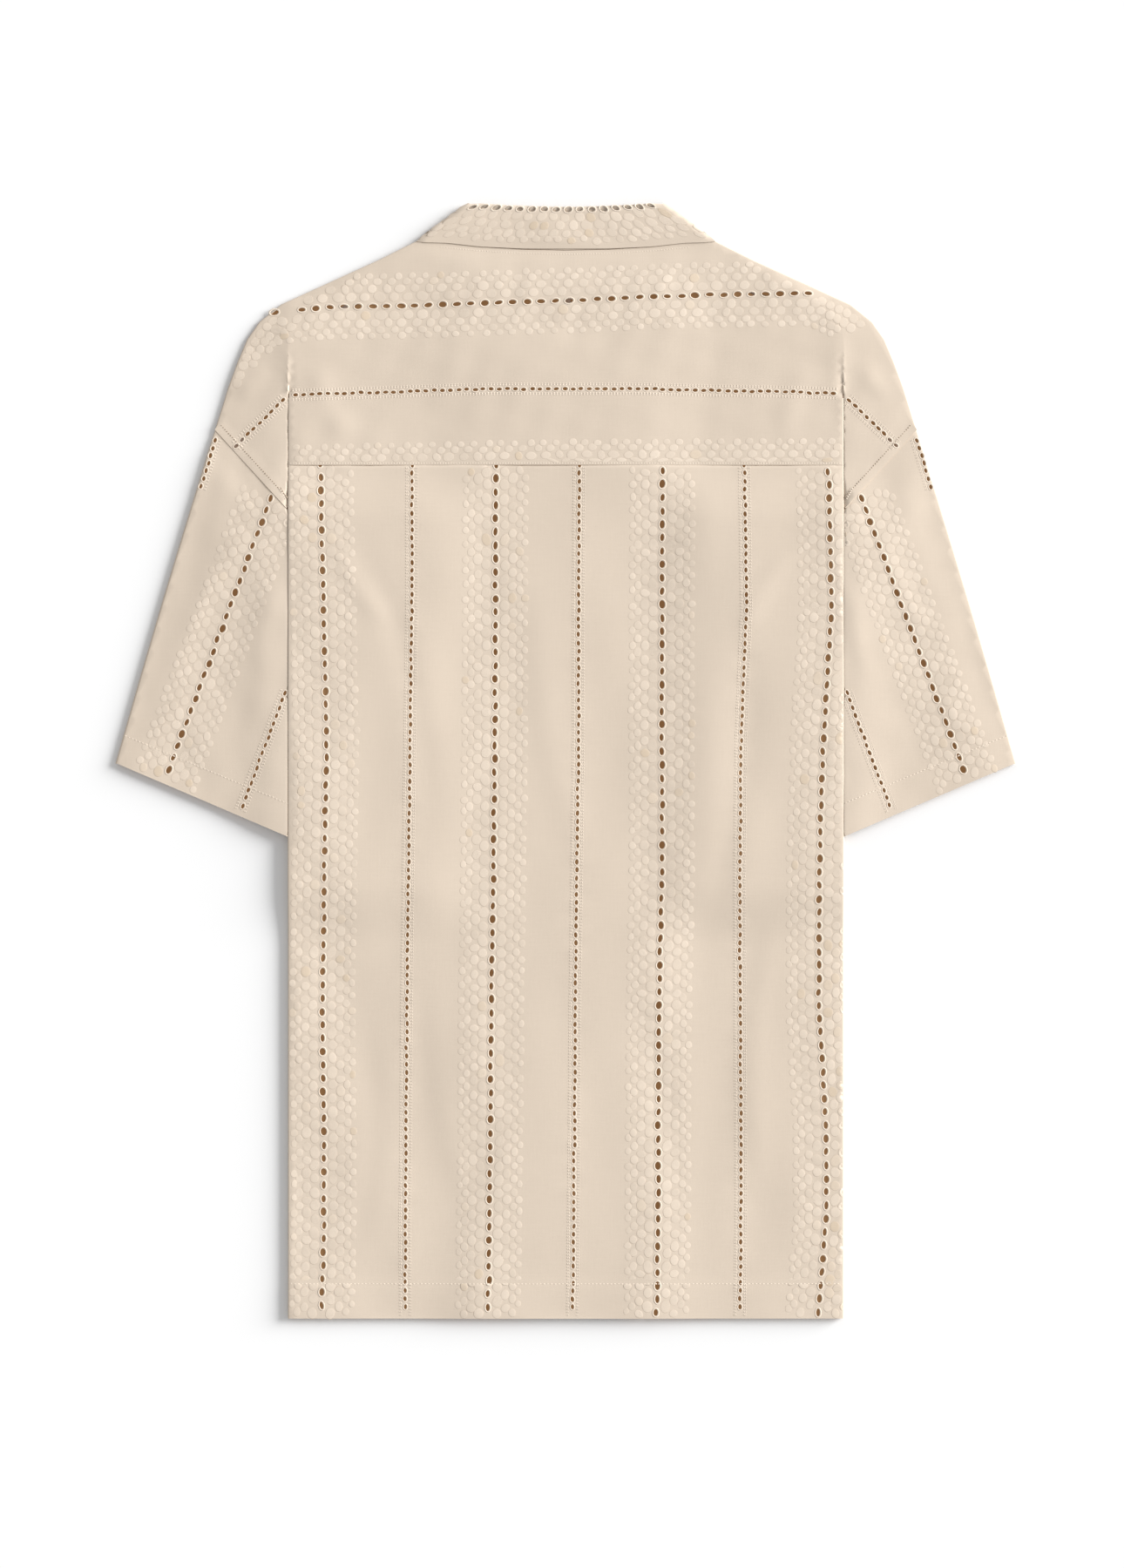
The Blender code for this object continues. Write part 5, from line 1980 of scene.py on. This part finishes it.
@dataclass
class Collar(Surface):
    """One-piece collar: it stands up from the neck seam, folds over and falls outside."""

    finishes: Finishes
    stand: float = 29.5
    fall: float = 28.6
    arc: float = math.pi * INNER_RADIUS
    parts: int = 5
    leaf_up: float = 735.0
    grid: Array = field(init=False)
    reach: Array = field(init=False)
    widths: Array = field(init=False)
    facing = -1

    def __post_init__(self) -> None:
        """Lay out the collar's sections."""
        rows = []
        for first, last in zip(COLLAR_SECTIONS, COLLAR_SECTIONS[1:]):
            rows += [tuple(lerp(a, b, step / self.parts) for a, b in zip(first, last))
                     for step in range(self.parts)]
        rows.append(COLLAR_SECTIONS[-1])
        left = [self._section(row, -1) for row in reversed(rows)]
        right = [self._section(row, 1) for row in rows[1:]]
        self.grid = np.array(left + right)
        gaps = np.linalg.norm(np.diff(self.grid, axis=0), axis=2).mean(1)
        reach = np.concatenate([[0.0], np.cumsum(gaps)])
        self.reach = reach - reach[len(left) - 1]
        self.widths = self._path_widths()

    def _path_widths(self) -> Array:
        """Return the distance across the collar of each point of a section.

        Returns:
            The distances, from the seam to the edge.
        """
        stand = [self.stand * share for share in QUARTERS]
        arc = [self.stand + self.arc * step / FOLD_STEPS for step in range(1, FOLD_STEPS)]
        falls = [self.stand + self.arc + self.fall * share for share in QUARTERS]
        return np.array(stand + arc + falls)

    @staticmethod
    def _section(row: tuple, side: int) -> list[tuple]:
        """Return one section's middle points: stand, crease and fall.

        Args:
            row: a row of COLLAR_SECTIONS.
            side: -1 or 1 for the left or the right of the picture.

        Returns:
            Points as (across, up, high).
        """
        seam_across, seam_up, crease_across, crease_up, edge_across, edge_up, angle = row
        turned = math.radians(angle)
        edge = np.array([edge_across - crease_across, edge_up - crease_up])
        edge /= np.hypot(*edge)
        outward = np.array([-edge[1], edge[0]])
        if outward[0] < 0:
            outward = -outward
        path = [(lerp(seam_across, crease_across, share), lerp(seam_up, crease_up, share),
                 INNER_RADIUS) for share in QUARTERS]
        for step in range(1, FOLD_STEPS):
            bend = math.pi * step / FOLD_STEPS
            bulge = INNER_RADIUS * math.sin(bend)
            path.append((crease_across - edge[0] * bulge, crease_up - edge[1] * bulge,
                         INNER_RADIUS + INNER_RADIUS * (1 - math.cos(bend))))
        path += [(lerp(crease_across, edge_across, share), lerp(crease_up, edge_up, share),
                  INNER_RADIUS + STEP_UP - 0.7 * share ** 2) for share in QUARTERS]
        middle = OVER_FRONT + INNER_RADIUS
        return [((across + outward[0] * offset * math.cos(turned)) * side,
                 up + outward[1] * offset * math.cos(turned),
                 middle + offset * math.sin(turned)) for across, up, offset in path]

    def at(self, across: Array, up: Array) -> Array:
        """Return middle points from the distance round the neck and the distance across.

        Args:
            across: distances round the neck from its middle.
            up: distances across the collar from its seam.

        Returns:
            The points in millimetres.
        """
        row = np.interp(across, self.reach, np.arange(len(self.reach)))
        column = np.interp(up, self.widths, np.arange(len(self.widths)))
        r = np.clip(row.astype(int), 0, len(self.reach) - 2)
        c = np.clip(column.astype(int), 0, len(self.widths) - 2)
        x, y = (column - c)[..., None], (row - r)[..., None]
        grid = self.grid
        found = ((grid[r, c] * (1 - x) + grid[r, c + 1] * x) * (1 - y)
                 + (grid[r + 1, c] * (1 - x) + grid[r + 1, c + 1] * x) * y)
        soft = 0.22 * uneven(across, up, 45.0, 95) * ease((up - self.stand - 4) / 8.0)
        soft = soft * ease((self.stand + self.arc + self.fall - up) / 6.0) * (np.abs(across) < 92)
        found[..., 2] += soft
        return found

    def build(self) -> list[bpy.types.Object]:
        """Make the collar, its embroidery and its stitching.

        Returns:
            The pieces, the cloth first.
        """
        cloth = Cloth("collar_cloth")
        wide = float(self.widths[-1])
        far = float(self.reach[-1])
        outline = [(-far, 0.0), (far, 0.0), (far, wide), (-far, wide)]
        edge = fine(outline, 4.0)
        crease = self.stand + self.arc
        row = EyeletRow(Track([(-73.0, crease + 2.0), (74.0, crease + 1.2)]), RowKind.LARGE,
                        9.2, 1.0, 97)
        eyelets = row.eyelets()
        plan, faces = cut_region(edge, eyelets, 3.0)
        cloth.add(self.at(plan[:, 0], plan[:, 1]), plan, faces)
        piece = cloth.build(self.finishes.cloth)
        # The leaves' upward faces under the yoke take the painted shade of the inner side
        piece.data.materials.append(self.finishes.inner)
        for polygon in piece.data.polygons:
            if polygon.normal.z > 0.3 and polygon.center.y < (self.leaf_up - LENGTH / 2) * MM:
                polygon.material_index = 1
        draw = np.random.default_rng(98)
        petals = []
        for level, shift, size, pitch in ((6.6, 0.0, 7.0, 8.9), (12.6, 4.4, 6.6, 8.9),
                                          (18.0, 0.0, 5.6, 7.3), (22.6, 3.6, 4.6, 7.3)):
            for index in range(-13, 14):
                across = index * pitch + shift + draw.normal(0.0, 0.6)
                if abs(across) < 66 + level * 1.1:
                    size_across = size * draw.uniform(0.85, 1.15)
                    size_along = size * draw.uniform(0.9, 1.25)
                    petals.append(Petal(across, crease + level + draw.normal(0, 0.5),
                                        draw.normal(0, 0.6), size_across, size_along,
                                        float(draw.uniform(0.0, 1.05))))
        # This line lies low on the stand, at a distance from the seam set by the last petal
        from_seam = petals[-1].wide - 1.6
        line = Track([(-96.0, from_seam), (96.0, from_seam)])
        dashes = stitch_line(line, 0.0, 1.9, 1.3, 0.7, 99)
        made = [piece, *embroider("collar", self, self.finishes, petals, eyelets, dashes)]
        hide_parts("collar")
        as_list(made[1:])
        return made


@dataclass
class Buttons:
    """Seven four-hole buttons under the placket."""

    finishes: Finishes
    count: int = 7
    first_up: float = 692.0
    pitch: float = 95.8
    radius: float = 5.75
    thick: float = 1.8
    dish: float = 0.5
    sides: int = 40
    hole_count: int = 4
    hole_radius: float = 0.75
    hole_out: float = 1.35
    hole_sides: int = 12

    def build(self) -> list[bpy.types.Object]:
        """Make the buttons.

        Returns:
            The pieces.
        """
        made = []
        for index in range(self.count):
            piece = self._button(f"button_{index + 1}_sewn")
            up = self.first_up - self.pitch * index
            piece.location = Vector((0.0, up - LENGTH / 2, 0.0)) * MM
            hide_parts(f"button_{index + 1}")
            made.append(piece)
        return made

    def _button(self, name: str) -> bpy.types.Object:
        """Return one button, its dished face down, with its holes.

        Args:
            name: its name.

        Returns:
            The button, at the garment's middle.
        """
        work = bmesh.new()
        profile = ((3.7, self.dish), (4.3, 0.12), (4.7, 0.0), (5.3, 0.05), (self.radius, 0.5),
                   (self.radius, 1.3), (5.4, 1.7), (4.9, self.thick))
        angles = [math.tau * step / self.sides for step in range(self.sides)]
        rings = [[work.verts.new((out * MM * math.cos(a), out * MM * math.sin(a), high * MM))
                  for a in angles] for out, high in profile]
        for lower, upper in zip(rings, rings[1:]):
            for step in range(self.sides):
                ahead = (step + 1) % self.sides
                work.faces.new((lower[step], lower[ahead], upper[ahead], upper[step]))
        for high, ring, flip in ((self.dish, rings[0], True), (self.thick, rings[-1], False)):
            self._plate(work, ring, high, flip)
        bmesh.ops.remove_doubles(work, verts=work.verts, dist=1e-7)
        bmesh.ops.recalc_face_normals(work, faces=work.faces)
        mesh = bpy.data.meshes.new(name)
        work.to_mesh(mesh)
        work.free()
        mesh.polygons.foreach_set("use_smooth", [True] * len(mesh.polygons))
        mesh.set_sharp_from_angle(angle=math.radians(35))
        mesh.materials.append(self.finishes.button)
        return placed(name, mesh)

    def _plate(self, work: bmesh.types.BMesh, ring: list, high: float, flip: bool) -> None:
        """Add a face with four holes inside a ring, and the holes' walls on the lower face.

        Args:
            work: the button's mesh.
            ring: the points round the face.
            high: its height.
            flip: whether it is the lower face.
        """
        outer = np.array([(vert.co.x / MM, vert.co.y / MM) for vert in ring])
        loops = []
        for number in range(self.hole_count):
            turn = math.tau * number / self.hole_count + math.pi / self.hole_count
            centre = (self.hole_out * math.cos(turn), self.hole_out * math.sin(turn))
            loops.append([(centre[0] + self.hole_radius * math.cos(a),
                           centre[1] + self.hole_radius * math.sin(a))
                          for a in np.arange(self.hole_sides) * math.tau / self.hole_sides])
        points = [tuple(point) for point in outer] + [point for loop in loops for point in loop]
        faces = [list(range(len(outer)))]
        for number in range(self.hole_count):
            start = len(outer) + self.hole_sides * number
            faces.append(list(range(start, start + self.hole_sides)))
        result = delaunay_2d_cdt([Vector(point) for point in points], [], faces, 1, 1e-6)
        verts = [work.verts.new((point.x * MM, point.y * MM, high * MM)) for point in result[0]]
        for face, origin in zip(result[2], result[5]):
            if list(origin) == [0]:
                corners = [verts[corner] for corner in face]
                work.faces.new(corners[::-1] if flip else corners)
        if flip:
            for loop in loops:
                for start, end in zip(loop, loop[1:] + loop[:1]):
                    work.faces.new([work.verts.new((x * MM, y * MM, z * MM)) for x, y, z in (
                        (*start, self.dish), (*end, self.dish),
                        (*end, self.thick), (*start, self.thick))])


@dataclass
class Studio:
    """Pale floor, soft low light from the right, and the camera above; sizes in metres."""

    frame_height: float = 1.098
    camera_high: float = 3.0
    centre: tuple[float, float] = (-0.0027, -0.0162)
    floor_reach: float = 4.0
    floor_drop: float = 0.0003
    sky_strength: float = 0.52
    sun_energy: float = 6.3
    sun_angle: float = 36.0
    sun_heading: tuple[float, float, float] = (-0.88, -0.34, -0.30)

    def build(self) -> None:
        """Make the floor, the lights and the camera."""
        mesh = bpy.data.meshes.new("studio_floor")
        mesh.from_pydata([(x * self.floor_reach, y * self.floor_reach, -self.floor_drop)
                          for x, y in ((-1, -1), (1, -1), (1, 1), (-1, 1))], [], [(0, 1, 2, 3)])
        mesh.materials.append(FloorFinish().material())
        placed("studio_floor", mesh)
        camera = bpy.data.cameras.new("camera")
        camera.sensor_width = 36.0
        camera.sensor_fit = "AUTO"
        camera.lens = camera.sensor_width / 2 * self.camera_high / (self.frame_height / 2)
        camera.clip_end = 50.0
        eye = placed("camera", camera)
        eye.location = (*self.centre, self.camera_high)
        bpy.context.scene.camera = eye
        world = bpy.data.worlds.new("studio_world")
        world.use_nodes = True
        set_inputs(world.node_tree.nodes["Background"],
                   {"Color": (1.0, 1.0, 1.0, 1.0), "Strength": self.sky_strength})
        bpy.context.scene.world = world
        bpy.context.scene.view_settings.view_transform = "Standard"
        key = bpy.data.lights.new("key_light", "SUN")
        key.energy = self.sun_energy
        key.angle = math.radians(self.sun_angle)
        lamp = placed("key_light", key)
        lamp.rotation_euler = Vector(self.sun_heading).to_track_quat("-Z", "Y").to_euler()


def main() -> None:
    """Build the garment's pieces in order and report each."""
    logging.basicConfig(level=logging.INFO, format="%(message)s")
    Studio().build()
    thread = SatinFinish(name="sewing_thread", light=(0.765, 0.655, 0.54, 1.0),
                         dark=(0.71, 0.605, 0.495, 1.0), ochre_share=1.5, strength=0.35)
    # Dark brown marks: needle holes along the armholes, and painted shade beside the tucks' ends
    mark = SatinFinish(name="needle_marks_and_painted_shade", light=(0.42, 0.33, 0.25, 1.0),
                       dark=(0.34, 0.26, 0.19, 1.0), ochre_share=1.5, strength=0.2)
    finishes = Finishes(CottonFinish().material(), InnerShadeFinish().material(),
                        SatinFinish().material(), thread.material(), mark.material(),
                        ButtonFinish().material())
    parts = [
        Front(finishes, -1, "front_left", 2.1, 17.0, 28.0),
        Front(finishes, 1, "front_right", 3.5, 23.0, 32.0),
        Sleeve(finishes, -1, "sleeve_left"),
        Sleeve(finishes, 1, "sleeve_right"),
        Back(finishes),
        Yoke(finishes),
        Collar(finishes),
    ]
    for part in parts:
        for piece in part.build():
            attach(piece, "root")
            LOG.info("%s: %d faces", piece.name, len(piece.data.polygons))
    for piece in Buttons(finishes).build():
        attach(piece, "root")
        LOG.info("%s: %d faces", piece.name, len(piece.data.polygons))


if __name__ == "__main__":
    main()
